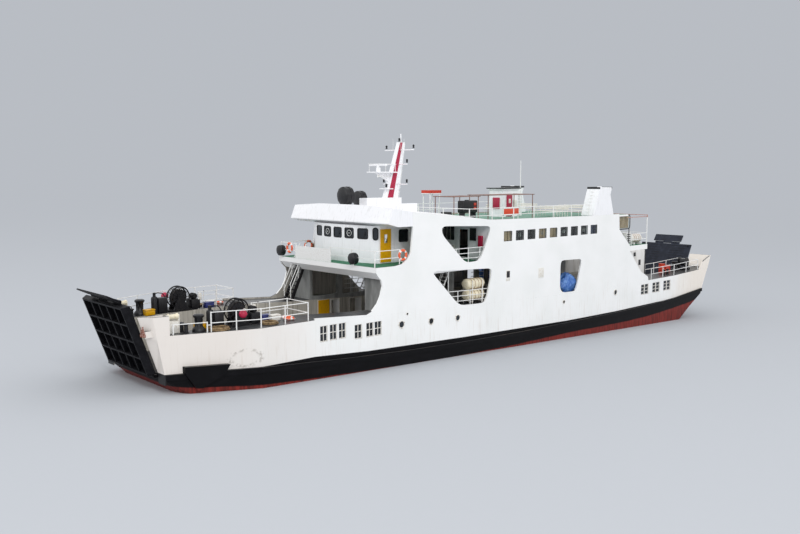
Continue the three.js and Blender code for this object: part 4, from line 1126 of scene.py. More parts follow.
class FERRY_OT_rafts(bpy.types.Operator):
    """Life raft canisters in their cradles"""

    bl_idname = "ferry.rafts"
    bl_label = "Life rafts"

    def execute(self, context):
        for name, side in SIDES.items():
            bm = bmesh.new()
            base, y = deck_z(-6.2) + 0.08, side * 4.55
            for z in (base + 0.52, base + 1.33):
                canister(bm, Vector((-6.35, y, z)), 1.8)
            for x in (-6.0, -4.95):
                for across in (-0.43, 0.43):
                    foot, top = deck_z(x) + 0.004, base + 1.6
                    add_post(bm, x, y + across, (0.03, 0.025), foot, top, 0.01, 2)
                for z in (base + 0.11, base + 0.92):
                    add_post(bm, x, y, (0.03, 0.43), z - 0.03, z + 0.03, 0.01, 2)
            make_piece(
                bm, f"{name}_life_rafts",
                ("cream_resin", "tan_webbing", "aged_white_enamel"),
                replaces=(f"{name}_life_raft_rack",),
            )
        return {"FINISHED"}


# Life rings on the rails: middle and axis
LIFE_RINGS = (
    ((-12.72, -5.0, 7.92), STARBOARD),
    ((-12.72, 5.0, 7.92), STARBOARD),
    ((-15.13, 3.95, 7.95), AFT),
    ((-20.9, -3.95, 4.72), (0.1, -0.1, 1)),
    ((-20.9, 3.95, 4.72), (0.1, 0.1, 1)),
)


def life_ring(bm, middle, axis):
    """Ring with four white bands, and a grab line that stands off between them."""
    middle, turn = Vector(middle), turned(axis)
    add_ring(bm, middle, axis, 0.3, 0.08, 0, 32, 12)
    for face in bm.faces:
        spot = turn.inverted() @ (face.calc_center_median() - middle)
        angle = math.degrees(math.atan2(spot.y, spot.x)) % 90
        face.material_index = 1 if 32 < angle < 58 else 0
    line = []
    for i in range(24):
        angle = math.tau * i / 24
        reach = 0.4 + 0.025 * math.cos(4 * angle + math.pi)
        angle += math.pi / 4
        line.append(middle + turn @ Vector((reach * math.cos(angle), reach * math.sin(angle), 0)))
    add_pipe(bm, line, 0.01, 6, True, 1)


class FERRY_OT_life_rings(bpy.types.Operator):
    """Life rings with their white bands and grab lines"""

    bl_idname = "ferry.life_rings"
    bl_label = "Life rings"

    def execute(self, context):
        for index, (middle, axis) in enumerate(LIFE_RINGS):
            bm = bmesh.new()
            life_ring(bm, middle, axis)
            make_piece(bm, f"life_ring_{index + 1}", ("orange_foam", "rail_enamel"))
        return {"FINISHED"}


# Lamps on the mast: x, y, z
MAST_LAMPS = (
    (-8.35, 0, 15.35), (-8.3, -1.4, 14.86), (-8.3, 1.4, 14.86), (-8.45, -0.9, 13.86),
    (-8.75, -1.2, 12.46), (-8.75, 1.2, 12.46), (-9.6, 0, 12.14),
)
MAST_LAMP = (
    (0, 0), (0.08, 0), (0.08, 0.03), (0.06, 0.035), (0.06, 0.16), (0.085, 0.17),
    (0.07, 0.21), (0.02, 0.25), (0, 0.25),
)
HORN = ((0, 0), (0.03, 0), (0.03, 0.25), (0.05, 0.36), (0.1, 0.44), (0.085, 0.43), (0.02, 0.3))


def mast_fittings(bm):
    """Aerials, guard rail of the platform, ladder and horn."""
    for y in (-0.55, -0.2, 0.25, 0.6):
        add_tube(bm, (-8.4, y, 14.7), (-8.4, y, 15.25 + abs(y) * 0.5), 0.012, 6, 0.005)
    for x in (-10.75, -9.2):
        for y in (-0.5, 0.5):
            add_tube(bm, (x, y, 13.2), (x, y, 13.75), 0.015, 8)
    guard = on_plane(rounded(1.75, 1.15, 0.12), (-9.97, 0, 13.75), AFT, STARBOARD)
    add_pipe(bm, guard, 0.015, 8, True)
    for i in range(14):
        z = 11.2 + 0.3 * i
        add_bar(bm, (-8.55 + (z - 11) * 0.155, 0, z), STARBOARD * 0.16, 0.012, 6)
    for y in (-0.16, 0.16):
        add_tube(bm, (-8.62, y, 10.95), (-7.95, y, 15.2), 0.014, 6)
    add_lathe(bm, (-10.3, -0.42, 12.9), (-1, 0, 0.05), HORN, 0, 20)
    add_tube(bm, (-9.75, -0.42, 12.9), (-9.75, -0.1, 12.9), 0.025, 8)


class FERRY_OT_mast_gear(bpy.types.Operator):
    """Crimson stripe, lamps, aerials, horn and ladder of the mast"""

    bl_idname = "ferry.mast_gear"
    bl_label = "Mast gear"

    def execute(self, context):
        bm = bmesh.new()
        for side in SIDES.values():
            stripe = ((-9.75, 11.0), (-9.2, 11.0), (-8.19, 15.28), (-8.42, 15.28))
            outline = [(x, side * 0.165, z) for x, z in stripe]
            add_plate(bm, outline, (0, side * 0.012, 0))
        make_piece(bm, "mast_stripe", ("crimson_enamel",))
        bm = bmesh.new()
        for place in MAST_LAMPS:
            foot = Vector(place)
            add_lathe(bm, foot, UP, MAST_LAMP, 0, 16)
            add_tube(bm, foot + UP * 0.045, foot + UP * 0.155, 0.066, 16, slot=1)
        make_piece(bm, "mast_lamps", ("gear_enamel", "window_glass"))
        bm = bmesh.new()
        mast_fittings(bm)
        make_piece(bm, "mast_fittings", ("rail_enamel",))
        return {"FINISHED"}


# Gear on the fore deck, the same on both sides: x and distance from the centreline
CAPSTAN = (-26.45, 3.55)
BOLLARDS = ((-27.2, 3.55), (-27.2, 3.05))
# The same for the rope coils, with the rope's radius
FORE_COILS = ((-25.45, 3.9, 0.04), (-22.4, 4.25, 0.034))
# The same for the boxes, with the number of their material
FORE_BOXES = ((-21.6, 3.6, 0), (-26.1, 3.05, 3), (-22.0, 3.2, 4))

CAPSTAN_SHAPE = (
    (0, 0.002), (0.36, 0.002), (0.36, 0.12), (0.3, 0.2), (0.2, 0.3), (0.17, 0.5),
    (0.2, 0.7), (0.29, 0.8), (0.3, 0.88), (0.24, 0.93), (0, 0.94),
)
BOLLARD_SHAPE = (
    (0, 0.002), (0.17, 0.002), (0.17, 0.04), (0.11, 0.05), (0.105, 0.42), (0.15, 0.45),
    (0.15, 0.49), (0.1, 0.52), (0, 0.525),
)


def on_deck(x, away, side):
    """A place on the side deck."""
    return Vector((x, side * away, deck_z(x)))


def capstan(bm, foot):
    """Capstan with ribs round its barrel."""
    add_lathe(bm, foot, UP, CAPSTAN_SHAPE, 0, 28)
    for rib in spokes(8, level=True):
        add_tube(bm, foot + rib * 0.2 + UP * 0.28, foot + rib * 0.21 + UP * 0.72, 0.025, 8)


def power_pack(bm, side):
    """Tall hydraulic unit ahead of the winch, with its tank and pipes."""
    deck, y = deck_z(-25), side * 3.3
    add_block(bm, (-25.45, y - 0.22, deck + 0.003), (-24.85, y + 0.22, deck + 0.95), 0.05)
    add_lathe(
        bm, (-25.62, y, deck + 0.003), UP,
        ((0, 0), (0.2, 0), (0.2, 0.9), (0.17, 1.02), (0.09, 1.06), (0.09, 1.28), (0, 1.3)), 0, 24,
    )
    line = ((-25.62, 1.2), (-25.4, 1.26), (-25.1, 1.2), (-24.95, 1.02), (-24.9, 0.9))
    add_pipe(bm, [(x, y, deck + z) for x, z in line], 0.03, 8)


def fairlead(bm, side):
    """Cream roller in a white stand at the rail."""
    x, y, deck = -27.75, side * 3.15, deck_z(-27.75)
    for end in (-0.3, 0.3):
        add_post(bm, x + end, y, (0.03, 0.14), deck + 0.003, deck + 1.02, 0.015)
    add_post(bm, x, y, (0.3, 0.1), deck + 0.003, deck + 0.66, 0.02)
    add_lathe(
        bm, (x - 0.28, y, deck + 0.9), AFT,
        ((0, 0), (0.17, 0), (0.17, 0.05), (0.13, 0.1), (0.13, 0.46), (0.17, 0.51),
         (0.17, 0.56), (0, 0.56)), 1, 24,
    )


def float_ball(bm, side):
    """Red float that hangs from the rail."""
    x, radius = -24.3, 0.23
    middle = Vector((x, side * (half_beam(x) - 0.38), 5.42))
    angles = [math.pi * i / 12 for i in range(13)]
    ball = tuple((radius * math.sin(a), radius - radius * math.cos(a)) for a in angles)
    add_lathe(bm, middle - UP * radius, UP, ball, 2, 24)
    hook = Vector((x, side * (half_beam(x) - 0.1), 5.68))
    add_pipe(bm, (
        middle + UP * 0.2, middle + Vector((0, side * 0.06, 0.29)),
        hook - Vector((0, side * 0.09, -0.06)), hook + UP * 0.03,
    ), 0.016, 6)


def mooring_coil(name, side, x, y, radius):
    """Mooring rope laid down in a flat coil of two layers."""
    turns, steps, inner, outer = 4, 16, 9.2 * radius, 15.0 * radius
    count = turns * steps
    deck = deck_z(x) + 0.006 + radius
    points = []
    for layer in (0, 1):
        for i in range(count):
            share = i / count if layer == 0 else 1 - i / count
            reach = outer + (inner - outer) * share
            angle = side * math.tau * i / steps
            reach += 0.12 * radius * math.sin(5 * angle + layer)
            points.append(Vector((
                x + reach * math.cos(angle), side * y + reach * math.sin(angle),
                deck + layer * radius * 2.04,
            )))
    bm = bmesh.new()
    add_pipe(bm, points, radius, 8)
    piece = make_piece(bm, name, ("brown_hemp",))


class FERRY_OT_fore_deck_gear(bpy.types.Operator):
    """Capstans, bollards, fairleads, lockers, floats and mooring ropes on the fore deck"""

    bl_idname = "ferry.fore_deck_gear"
    bl_label = "Fore deck gear"

    def execute(self, context):
        for name, side in SIDES.items():
            bm = bmesh.new()
            capstan(bm, on_deck(*CAPSTAN, side))
            for bollard in BOLLARDS:
                add_lathe(bm, on_deck(*bollard, side), UP, BOLLARD_SHAPE)
            power_pack(bm, side)
            make_piece(bm, f"{name}_mooring_gear", ("black_enamel", "wire_rope"))
            bm = bmesh.new()
            fairlead(bm, side)
            float_ball(bm, side)
            deck = deck_z(-22) + 0.003
            for x, y, slot in FORE_BOXES:
                add_post(bm, x, side * y, (0.3, 0.2), deck, deck + 0.3, 0.03, slot)
                add_post(bm, x, side * y, (0.32, 0.22), deck + 0.3, deck + 0.35, 0.015, slot)
            make_piece(
                bm, f"{name}_fore_deck_boxes",
                ("aged_white_enamel", "cream_resin", "crimson_enamel", "yellow_enamel",
                 "blue_enamel", "black_enamel"),
            )
            for index, coil in enumerate(FORE_COILS):
                mooring_coil(f"{name}_mooring_rope_{index + 1}", side, *coil)
        return {"FINISHED"}


# Ramps: foot, lean in degrees and length
RAMPS = {"bow": ((-28.62, 2.32), -19.0, 4.3), "stern": ((27.52, 1.78), 29.0, 4.9)}


class FERRY_OT_ramp_trim(bpy.types.Operator):
    """Wheel bars and eye plates on the bow and stern ramps"""

    bl_idname = "ferry.ramp_trim"
    bl_label = "Ramp trim"

    def execute(self, context):
        for name, ((x, z), lean, length) in RAMPS.items():
            bm = bmesh.new()
            turn = math.radians(lean)
            up = Vector((math.sin(turn), 0, math.cos(turn)))
            inward = Vector((math.cos(turn), 0, -math.sin(turn))) * (1 if lean < 0 else -1)
            start = Vector((x, 0, z))
            face = start + inward * 0.055
            for i in range(16):
                line = face + up * (0.45 + (length - 0.8) * i / 15)
                for half in (-1, 1):
                    ends = (line + STARBOARD * half * reach for reach in (0.5, 2.3))
                    add_tube(bm, *ends, 0.016, 6)
            for half in (-1, 1):
                spot = start + up * (length - 0.35) + STARBOARD * half * 2.45 + inward * 0.07
                add_ring(bm, spot + inward * 0.07, STARBOARD, 0.085, 0.025, 0, 20)
            make_piece(bm, f"{name}_ramp_trim", ("gear_enamel",), f"{name}_ramp")
        return {"FINISHED"}


# Gear of the top deck

# Fore and after edge, foot and top of the board
SIGN_BOARD = (-0.57, 1.35, 9.95, 10.53)
# Fore and after end and height of each awning frame
AWNINGS = ((-2.2, 3.1, 11.5), (-5.9, -3.3, 11.45))
# Covered search lamps on the roof and at the bridge front: x, y, z and radius
COVERED_LAMPS = (
    (-13.0, 0.35, 11.6, 0.575), (-11.09, 1.15, 11.36, 0.5),
    (-15.2, -3.05, 7.72, 0.34), (-15.2, 4.9, 7.72, 0.34),
)
# Profile of a lamp cover of radius 1
LAMP_COVER = (
    (0, -0.56), (0.6, -0.56), (0.97, -0.55), (1.05, -0.51), (1.06, -0.3), (1.03, -0.1),
    (1.04, 0.14), (1.03, 0.48), (0.92, 0.56), (0.6, 0.62), (0.3, 0.66), (0, 0.68),
)
# Height of the feet of the top deck's gear, just over the deck
TOP_FOOT = SUN_DECK + 0.002


def top_deck_tank(bm):
    """Black tank on its feet with a filler cap and red plates, and the locker ahead of it."""
    add_block(bm, (-4.1, -2.3, 10.22), (-2.5, -1.7, 11.12), 0.08, 0, 3)
    for x in (-3.9, -2.7):
        add_post(bm, x, -2.0, (0.06, 0.25), TOP_FOOT, 10.26, 0.02)
    add_lathe(bm, (-3.4, -2.0, 11.11), UP, ((0, 0), (0.16, 0), (0.16, 0.06), (0, 0.07)), 0, 20)
    for z in (10.45, 10.75):
        add_block(bm, (-2.95, -2.32, z), (-2.68, -2.28, z + 0.2), 0.01, 1)
    add_block(bm, (-5.9, -2.3, TOP_FOOT), (-5.3, -1.75, 10.35), 0.04)


def awning(bm, x0, x1, top):
    """Bare pipe frame of an awning."""
    y0, y1 = -3.05, -1.2
    for x in (x0, x1):
        for y in (y0, y1):
            add_tube(bm, (x, y, TOP_FOOT), (x, y, top), 0.035, 8)
        add_tube(bm, (x, y0 - 0.1, top), (x, y1 + 0.1, top), 0.035, 8)
    for i in range(5):
        y = y0 + (y1 - y0) * i / 4
        add_tube(bm, (x0 - 0.25, y, top), (x1 + 0.25, y, top), 0.025, 8)


def sign_board(bm):
    """Blank orange board in a white frame on two legs."""
    x0, x1, z0, z1 = SIGN_BOARD
    y, rim = -3.12, 0.07
    add_block(bm, (x0 + 0.05, y - 0.02, z0 + 0.05), (x1 - 0.05, y + 0.02, z1 - 0.05), 0.01, 1)
    for left, foot, right, head in (
        (x0, z0, x1, z0 + rim), (x0, z1 - rim, x1, z1),
        (x0, z0, x0 + rim, z1), (x1 - rim, z0, x1, z1),
    ):
        add_block(bm, (left, y - 0.04, foot), (right, y + 0.04, head), 0.015)
    for x in (x0 + 0.04, x1 - 0.04):
        add_tube(bm, (x, y + 0.06, TOP_FOOT), (x, y + 0.06, z1), 0.035, 8)


def hut_trim(bm):
    """Black roof sheet, red door with its pane and handle, red shutter and pane of the hut."""
    for low, high, width, slot in (
        ((2.1, -0.9, 11.905), (4.4, 0.9, 11.98), 0.03, 0),
        ((2.75, -0.76, 9.7), (3.45, -0.705, 11.45), 0.02, 1),
        ((2.98, -0.785, 10.75), (3.22, -0.75, 11.1), 0.01, 2),
        ((2.23, -0.4, 10.3), (2.295, 0.3, 11.2), 0.02, 1),
        ((3.6, -0.745, 10.3), (4.05, -0.703, 11.0), 0.01, 2),
    ):
        add_block(bm, low, high, width, slot)
    add_tube(bm, (3.38, -0.8, 10.5), (3.38, -0.8, 10.7), 0.015, 8, slot=3)


def bench(bm, x, y):
    """Slatted seat for six."""
    for end in (-1.1, 1.1):
        for dx, foot, dx_top, top in ((-0.16, 0, -0.16, 0.42), (0.16, 0, 0.22, 0.85),
                                      (-0.2, 0.41, 0.2, 0.41)):
            start = (x + dx, y + end, TOP_FOOT + foot)
            add_tube(bm, start, (x + dx_top, y + end, TOP_FOOT + top), 0.022, 8)
    for i in range(4):
        left = x - 0.2 + 0.1 * i
        low = (left, y - 1.2, TOP_FOOT + 0.42)
        add_block(bm, low, (x - 0.12 + 0.1 * i, y + 1.2, TOP_FOOT + 0.45), 0.008)
    for z in (0.6, 0.75):
        low = (x + 0.17, y - 1.2, TOP_FOOT + z)
        add_block(bm, low, (x + 0.2, y + 1.2, TOP_FOOT + z + 0.09), 0.008)


def covered_lamp(bm, x, y, z, radius):
    """Search lamp under a black cover that is tied round it, on its post."""
    middle = Vector((x, y, z))
    add_tube(
        bm, middle - UP * (radius + 0.16), middle - UP * (radius - 0.1), 0.05, 12, slot=1,
    )
    first = len(bm.verts)
    add_lathe(bm, middle, -AFT, [(r * radius, h * radius) for r, h in LAMP_COVER], 0, 56)
    for vert in list(bm.verts)[first:]:
        out = vert.co - middle
        angle = math.atan2(out.z, out.y)
        fold = 1 + 0.014 * math.sin(9 * angle) + 0.01 * math.sin(14 * angle + 11 * out.x)
        sag = 0.05 * radius * max(0, math.cos(angle + math.pi / 2))
        vert.co = middle + Vector((out.x, out.y * fold, out.z * fold - sag))
    add_ring(bm, middle + AFT * (0.1 * radius), AFT, radius * 1.05, 0.018, 0, 28, 6)


class FERRY_OT_top_deck_gear(bpy.types.Operator):
    """Black tank, seats, awning frames, blank board, hut trim and covered lamps"""

    bl_idname = "ferry.top_deck_gear"
    bl_label = "Top deck gear"

    def execute(self, context):
        bm = bmesh.new()
        top_deck_tank(bm)
        make_piece(bm, "top_deck_tank", ("black_enamel", "red_enamel"))
        bm = bmesh.new()
        for sizes in AWNINGS:
            awning(bm, *sizes)
        make_piece(bm, "awning_frames", ("worn_brown_enamel",))
        bm = bmesh.new()
        sign_board(bm)
        make_piece(bm, "blank_sign_board", ("rail_enamel", "orange_enamel"))
        bm = bmesh.new()
        hut_trim(bm)
        make_piece(
            bm, "hut_trim",
            ("black_enamel", "crimson_enamel", "aged_white_enamel", "rail_enamel"),
        )
        bm = bmesh.new()
        for x in (5.3, 6.0, 6.7, 8.6, 9.4):
            for y in (-2.6, 2.6):
                bench(bm, x, y)
        make_piece(bm, "top_deck_benches", ("aged_white_enamel",))
        bm = bmesh.new()
        for lamp in COVERED_LAMPS:
            covered_lamp(bm, *lamp)
        make_piece(bm, "covered_lamps", ("black_enamel", "rail_enamel"))
        return {"FINISHED"}


# Trim of the houses and the gallery

# Where the flat bars stand inside the shell
SHELL_FRAMES = (-8.6, -4.3, -3.6, -2.9, -2.2, -1.5, -0.8, -0.1, 0.6, 1.3, 2.0)


def vents(bm, side):
    """Louvred vents in the side of the house: the fore one is open, and the dark inside it is
    painted shade, drawn as a black plate and black louvres.
    """
    face = side * (HALF_BEAM + 0.004)
    for x0, x1, z0, z1, is_open in (
        (-2.62, -2.2, 5.35, 6.12, True), (1.2, 1.85, 5.25, 6.0, False),
    ):
        add_block(bm, (x0, face - 0.02, z0), (x1, face + 0.03, z1), 0.015)
        # painted shade: a black plate and black louvres for the dark inside the open vent
        if is_open:
            low = (x0 + 0.04, face - 0.035, z0 + 0.25)
            add_block(bm, low, (x1 - 0.04, face + 0.035, z1 - 0.05), 0.01, 1)
        for i in range(7):
            z = z0 + 0.09 + (z1 - z0 - 0.18) * i / 6
            low = (x0 + 0.05, face - 0.01, z - 0.028)
            high = (x1 - 0.05, face + side * 0.02 + 0.03, z + 0.012)
            add_block(bm, low, high, 0.006, 1 if is_open and i > 1 else 2)


def door_frames(bm, side):
    """Frames round the doorways of the lane wall and their coamings."""
    for x, wide in ((-13.45, 0.9), (-12.3, 0.7), (-10.6, 1.1)):
        sill, y = deck_z(x) - CAR_DECK_DROP + 0.12, side * (LANE_HALF - 0.02)
        left, right, head = x - 0.04, x + wide + 0.04, sill + 1.94
        points = [(left, y, sill), (left, y, head), (right, y, head), (right, y, sill)]
        for start, end in zip(points, points[1:] + points[:1]):
            add_tube(bm, start, end, 0.03, 6)


def shell_frames(bm, side):
    """Flat bars up the inside of the shell, where the frames of the ship stand. The white bars are
    drawn pale grey, which is painted shade.
    """
    for x in SHELL_FRAMES:
        low = (x - 0.03, side * 5.079 - 0.06, deck_z(x) + 0.01)
        # painted shade: pale grey for the white bars
        add_block(bm, low, (x + 0.03, side * 5.079, 6.48), 0.01, 2)


def funnel_rim(bm, side):
    """Black band round the funnel's top, its grille and ladder."""
    y0, y1 = sorted((side * 5.21, side * 3.99))
    for low, high in (
        ((9.14, y0, 11.86), (9.22, y1, 12.03)), ((10.9, y0, 11.88), (10.97, y1, 12.03)),
    ):
        add_block(bm, low, high, 0.015, 1)
    inboard = side * 3.985
    add_block(bm, (9.18, inboard - 0.02, 11.88), (10.95, inboard + 0.02, 12.03), 0.012, 1)
    for i in range(8):
        z = 10.2 + 0.14 * i
        add_block(bm, (9.5, inboard - 0.03, z), (10.6, inboard + 0.03, z + 0.05), 0.012, 2)
    for i in range(7):
        z = 10.0 + 0.27 * i
        x = 8.35 + (z - 9.73) * 0.374 - 0.07
        add_tube(bm, (x, side * 4.45, z), (x, side * 4.75, z), 0.014, 6)


def inner_wall(bm, side):
    """Barred window, locker, fire box and pane on the saloon's front wall; the window and the pane
    are black panels, painted shade of the rooms behind them.
    """
    x = -4.46
    # painted shade: the window and the pane (slot 1) are black panels for the dark rooms behind
    for y0, y1, z0, z1, deep, slot in (
        (0.35, 1.75, 8.25, 9.25, 0.03, 1), (0.3, 1.8, 6.95, 7.85, 0.5, 0),
        (4.2, 4.55, 7.9, 8.7, 0.16, 3), (3.3, 3.9, 8.3, 9.2, 0.03, 1),
    ):
        low, high = sorted((side * y0, side * y1))
        add_block(bm, (x - deep, low, z0), (x + 0.003, high, z1), 0.012, slot)
    for y in (0.7, 1.05, 1.4):
        add_tube(bm, (x - 0.04, side * y, 8.27), (x - 0.04, side * y, 9.23), 0.012, 6)


def opening_rails(bm, side):
    """Rails across the openings in the side."""
    for x0, x1, deck0, deck1, posts, across in (
        (-8.3, -4.7, SALOON_DECK, SALOON_DECK, 3, 5.0),
        (-9.4, -4.4, deck_z(-9.4), deck_z(-4.4), 4, 5.0),
        (3.2, 9.8, deck_z(3.2), deck_z(9.8), 6, 3.4),
    ):
        y = side * across
        for lift in (0.35, 0.7, 1.05):
            add_tube(bm, (x0, y, deck0 + lift), (x1, y, deck1 + lift), 0.025, 8)
        for i in range(posts):
            share = (i + 0.5) / posts
            x, deck = x0 + (x1 - x0) * share, deck0 + (deck1 - deck0) * share
            add_tube(bm, (x, y, deck + 0.003), (x, y, deck + 1.07), 0.03, 8)


def inner_stair(bm, side):
    """Steep stair with handrails that shows through the opening abreast of the rafts."""
    foot = Vector((-8.75, side * 3.8, deck_z(-8.75) + 0.004))
    head = Vector((-7.45, side * 3.8, 6.44))
    for across in (-0.33, 0.33):
        shift = STARBOARD * across
        add_tube(bm, foot + shift, head + shift, 0.04, 8)
        lifted = shift + Vector((-0.3, 0, 0.55))
        add_tube(bm, foot + lifted, head + lifted - Vector((0.3, 0, 0.6)), 0.022, 8)
        for share in (0.08, 0.5, 0.86):
            step = foot.lerp(head, share) + shift
            add_tube(bm, step, step + Vector((-0.3, 0, 0.5)), 0.018, 6)
    for i in range(1, 10):
        step = foot.lerp(head, i / 10)
        add_post(bm, step.x, step.y, (0.09, 0.33), step.z - 0.015, step.z + 0.015, 0.006)


def bridge_stair_rails(bm):
    """Handrails of the stairs up to the bridge."""
    foot, head, low, high = -15.7, -14.25, deck_z(-15.7), BRIDGE_DECK
    for y in (3.2, 3.95):
        for lift in (0.5, 0.95):
            add_tube(bm, (foot, y, low + lift + 0.15), (head, y, high + lift), 0.025, 8)
        for share in (0.04, 0.5, 0.97):
            x = foot + (head - foot) * share
            z = low + (high - low) * share + 0.1
            add_tube(bm, (x, y, z - 0.05), (x, y, z + 0.92), 0.025, 8)


def after_window(name, side):
    """Framed window of the after platform, with its curtain gathered behind it."""
    bm = bmesh.new()
    middle = Vector((13.35, side * 4.95, 9.0))
    outline = on_plane(rounded(1.9, 1.2, 0.22), middle, AFT, UP)
    add_pipe(bm, outline, 0.045, 8, True)
    for x in (12.55, 14.2):
        add_tube(bm, (x, middle.y, SALOON_DECK + 0.003), (x, middle.y, 8.42), 0.035, 8)
    add_plate(bm, [p + STARBOARD * (side * 0.01) for p in outline], (0, side * 0.015, 0), 1)
    make_piece(bm, f"{name}_after_window", ("black_enamel", "clear_glass"))
    hang_curtain(
        f"{name}_after_curtain", side, (middle.x, 4.88, 9.0), (1.7, 1.05), "tan_cotton",
        columns=84, depth=0.024, waves=62, drift=(0.5, 7, 0),
    )


def after_gear_boxes(bm, side):
    """Raft canisters and louvred box on the after platform, and small panes below it. The box's
    black louvres and the black panes are painted shade of the dark behind them.
    """
    deck = SALOON_DECK + 0.004
    canister(bm, Vector((15.0, side * 4.45, SALOON_DECK + 0.55)), 1.7)
    canister(bm, Vector((15.1, side * 3.5, SALOON_DECK + 0.55)), 1.7)
    for x in (15.35, 16.35):
        add_post(bm, x, side * 3.975, (0.03, 0.9), deck, SALOON_DECK + 0.2, 0.01, 2)
    low, high = sorted((side * 4.75, side * 4.1))
    add_block(bm, (14.2, low, deck), (14.85, high, 8.0), 0.02, 2)
    # painted shade: black louvres for the dark inside the box
    for i in range(5):
        z = SALOON_DECK + 0.15 + 0.19 * i
        add_block(bm, (14.26, low - 0.012, z), (14.79, high + 0.012, z + 0.09), 0.01, 3)
    face = side * (LANE_HALF + 0.12)
    # painted shade: the small panes are black for the dark behind them
    for x, z, tall in ((18.25, 5.75, 0.36), (19.15, 4.95, 0.5)):
        corner = (x, face - 0.02, z - tall / 2)
        add_block(bm, corner, (x + 0.36, face + 0.02, z + tall / 2), 0.01, 3)
    add_block(bm, (20.2, face - 0.05, 3.75), (20.3, face + 0.05, 6.05), 0.02, 3)


class FERRY_OT_house_trim(bpy.types.Operator):
    """Vents, frames, funnel rims, rails and stairs of the houses, and the after platform"""

    bl_idname = "ferry.house_trim"
    bl_label = "House trim"

    def execute(self, context):
        for name, side in SIDES.items():
            bm = bmesh.new()
            for shape in (vents, door_frames, shell_frames, funnel_rim, inner_wall):
                shape(bm, side)
            make_piece(
                bm, f"{name}_house_trim",
                ("aged_white_enamel", "black_enamel", "pale_grey_enamel", "crimson_enamel"),
            )
            bm = bmesh.new()
            opening_rails(bm, side)
            inner_stair(bm, side)
            make_piece(bm, f"{name}_opening_rails", ("rail_enamel",))
            after_window(name, side)
            bm = bmesh.new()
            after_gear_boxes(bm, side)
            make_piece(
                bm, f"{name}_after_gear_boxes",
                ("aged_white_enamel", "tan_webbing", "rail_enamel", "black_enamel"),
            )
        bm = bmesh.new()
        bridge_stair_rails(bm)
        make_piece(bm, "stair_handrails", ("rail_enamel",))
        return {"FINISHED"}


# Gear of the after deck

AFTER_REEL = (
    (0, 0), (0.48, 0.01), (0.5, 0.05), (0.3, 0.08), (0.34, 0.2), (0.36, 0.4),
    (0.34, 0.6), (0.3, 0.72), (0.5, 0.75), (0.48, 0.79), (0, 0.8),
)
RED_DRUM = (
    (0, 0.004), (0.29, 0.004), (0.3, 0.03), (0.285, 0.05), (0.285, 0.3), (0.3, 0.32),
    (0.285, 0.34), (0.285, 0.6), (0.3, 0.62), (0.285, 0.64), (0.285, 0.86),
    (0.3, 0.88), (0.27, 0.87), (0, 0.865),
)


def after_gear(bm, side):
    """Bollards, capstan, and a reel in its stand."""
    for x in (21.6, 22.3):
        add_lathe(bm, on_deck(x, 4.3, side), UP, BOLLARD_SHAPE)
    capstan(bm, on_deck(24.75, 3.7, side))
    deck = deck_z(26.0)
    add_post(bm, 26.0, side * 3.9, (0.5, 0.5), deck + 0.01, deck + 0.16)
    for y in (3.45, 4.35):
        add_post(bm, 26.0, side * y, (0.2, 0.04), deck + 0.1, deck + 0.85, 0.02)
    add_lathe(bm, (26.0, side * 3.9 - 0.4, deck + 0.72), STARBOARD, AFTER_REEL, 0, 32)


def red_drum(bm, side):
    """Red chest with its lid's edge, and a red drum ahead of it."""
    y, deck = side * 3.4, deck_z(23.6)
    low = (23.2, y - 0.25, deck + 0.004)
    add_block(bm, low, (24.05, y + 0.25, deck + 0.62), 0.04, 0, 3)
    add_block(bm, (23.18, y - 0.27, deck + 0.5), (24.07, y + 0.27, deck + 0.54), 0.01)
    add_lathe(bm, on_deck(22.75, 3.45, side), UP, RED_DRUM, 0, 28)


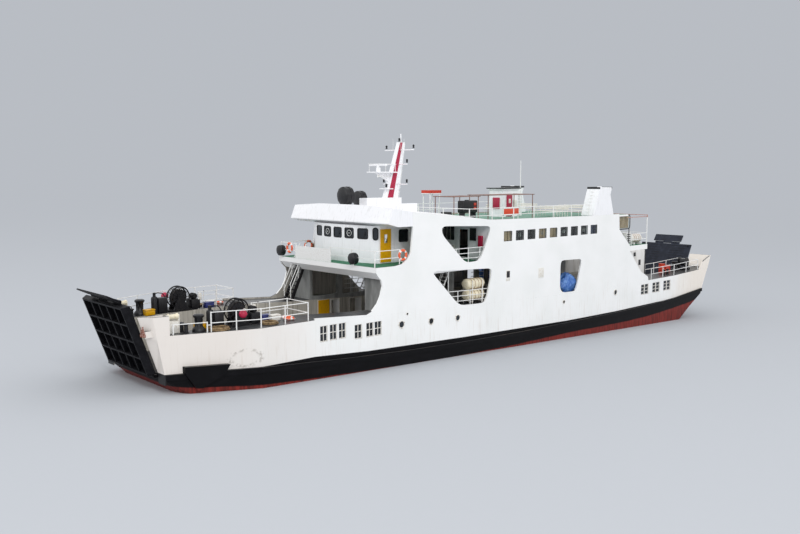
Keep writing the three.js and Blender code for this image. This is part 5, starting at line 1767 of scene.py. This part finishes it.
def tarpaulin_bundle(name, side):
    """Tarpaulin thrown over stores, as a soft heap."""
    bm = bmesh.new()
    x, low = 6.2, deck_z(6.2)
    bmesh.ops.create_icosphere(bm, subdivisions=5, radius=1.0)
    for vert in bm.verts:
        p = vert.co
        lumps = 1 + 0.09 * math.sin(5 * p.x + 3 * p.z) + 0.07 * math.sin(7 * p.y + 4 * p.x)
        lumps += 0.1 * noise_at(p * 2.6) + 0.13 * abs(noise_at(p * 5.5)) - 0.05
        place = Vector((p.x, p.y * 0.62, p.z * 0.85)) * lumps
        vert.co = (x + place.x, side * 4.3 + place.y, max(low + 0.004, low + 0.62 + place.z))
    piece = make_piece(bm, f"{name}_tarpaulin_bundle", ("blue_tarpaulin",))


class FERRY_OT_after_deck_gear(bpy.types.Operator):
    """Mooring gear, red chest and drum, and tarpaulin bundle aft"""

    bl_idname = "ferry.after_deck_gear"
    bl_label = "After deck gear"

    def execute(self, context):
        for name, side in SIDES.items():
            bm = bmesh.new()
            after_gear(bm, side)
            make_piece(bm, f"{name}_after_gear", ("black_enamel",))
            bm = bmesh.new()
            red_drum(bm, side)
            make_piece(bm, f"{name}_red_drum", ("red_enamel",))
            tarpaulin_bundle(name, side)
        return {"FINISHED"}


OPERATORS = (
    FERRY_OT_stage, FERRY_OT_paintwork, FERRY_OT_bridge_windows, FERRY_OT_side_windows,
    FERRY_OT_curtains, FERRY_OT_winches, FERRY_OT_rafts, FERRY_OT_life_rings,
    FERRY_OT_mast_gear, FERRY_OT_fore_deck_gear, FERRY_OT_ramp_trim, FERRY_OT_top_deck_gear,
    FERRY_OT_house_trim, FERRY_OT_after_deck_gear,
)


class FERRY_PT_pieces(bpy.types.Panel):
    """Lists the pieces of the ferry"""

    bl_label = "Ferry"
    bl_idname = "FERRY_PT_pieces"
    bl_space_type = "VIEW_3D"
    bl_region_type = "UI"
    bl_category = "Ferry"

    def draw(self, context):
        for operator in OPERATORS:
            self.layout.operator(operator.bl_idname)


CLASSES = (FERRY_PG_stage, FERRY_PG_paint, *OPERATORS, FERRY_PT_pieces)


def register():
    for each in CLASSES:
        bpy.utils.register_class(each)
    bpy.types.Scene.ferry_stage = bpy.props.PointerProperty(type=FERRY_PG_stage)
    bpy.types.Scene.ferry_paint = bpy.props.PointerProperty(type=FERRY_PG_paint)


def unregister():
    del bpy.types.Scene.ferry_paint
    del bpy.types.Scene.ferry_stage
    for each in reversed(CLASSES):
        bpy.utils.unregister_class(each)


def main():
    register()
    for operator in OPERATORS:
        group, name = operator.bl_idname.split(".")
        getattr(getattr(bpy.ops, group), name)()


if __name__ == "__main__":
    main()
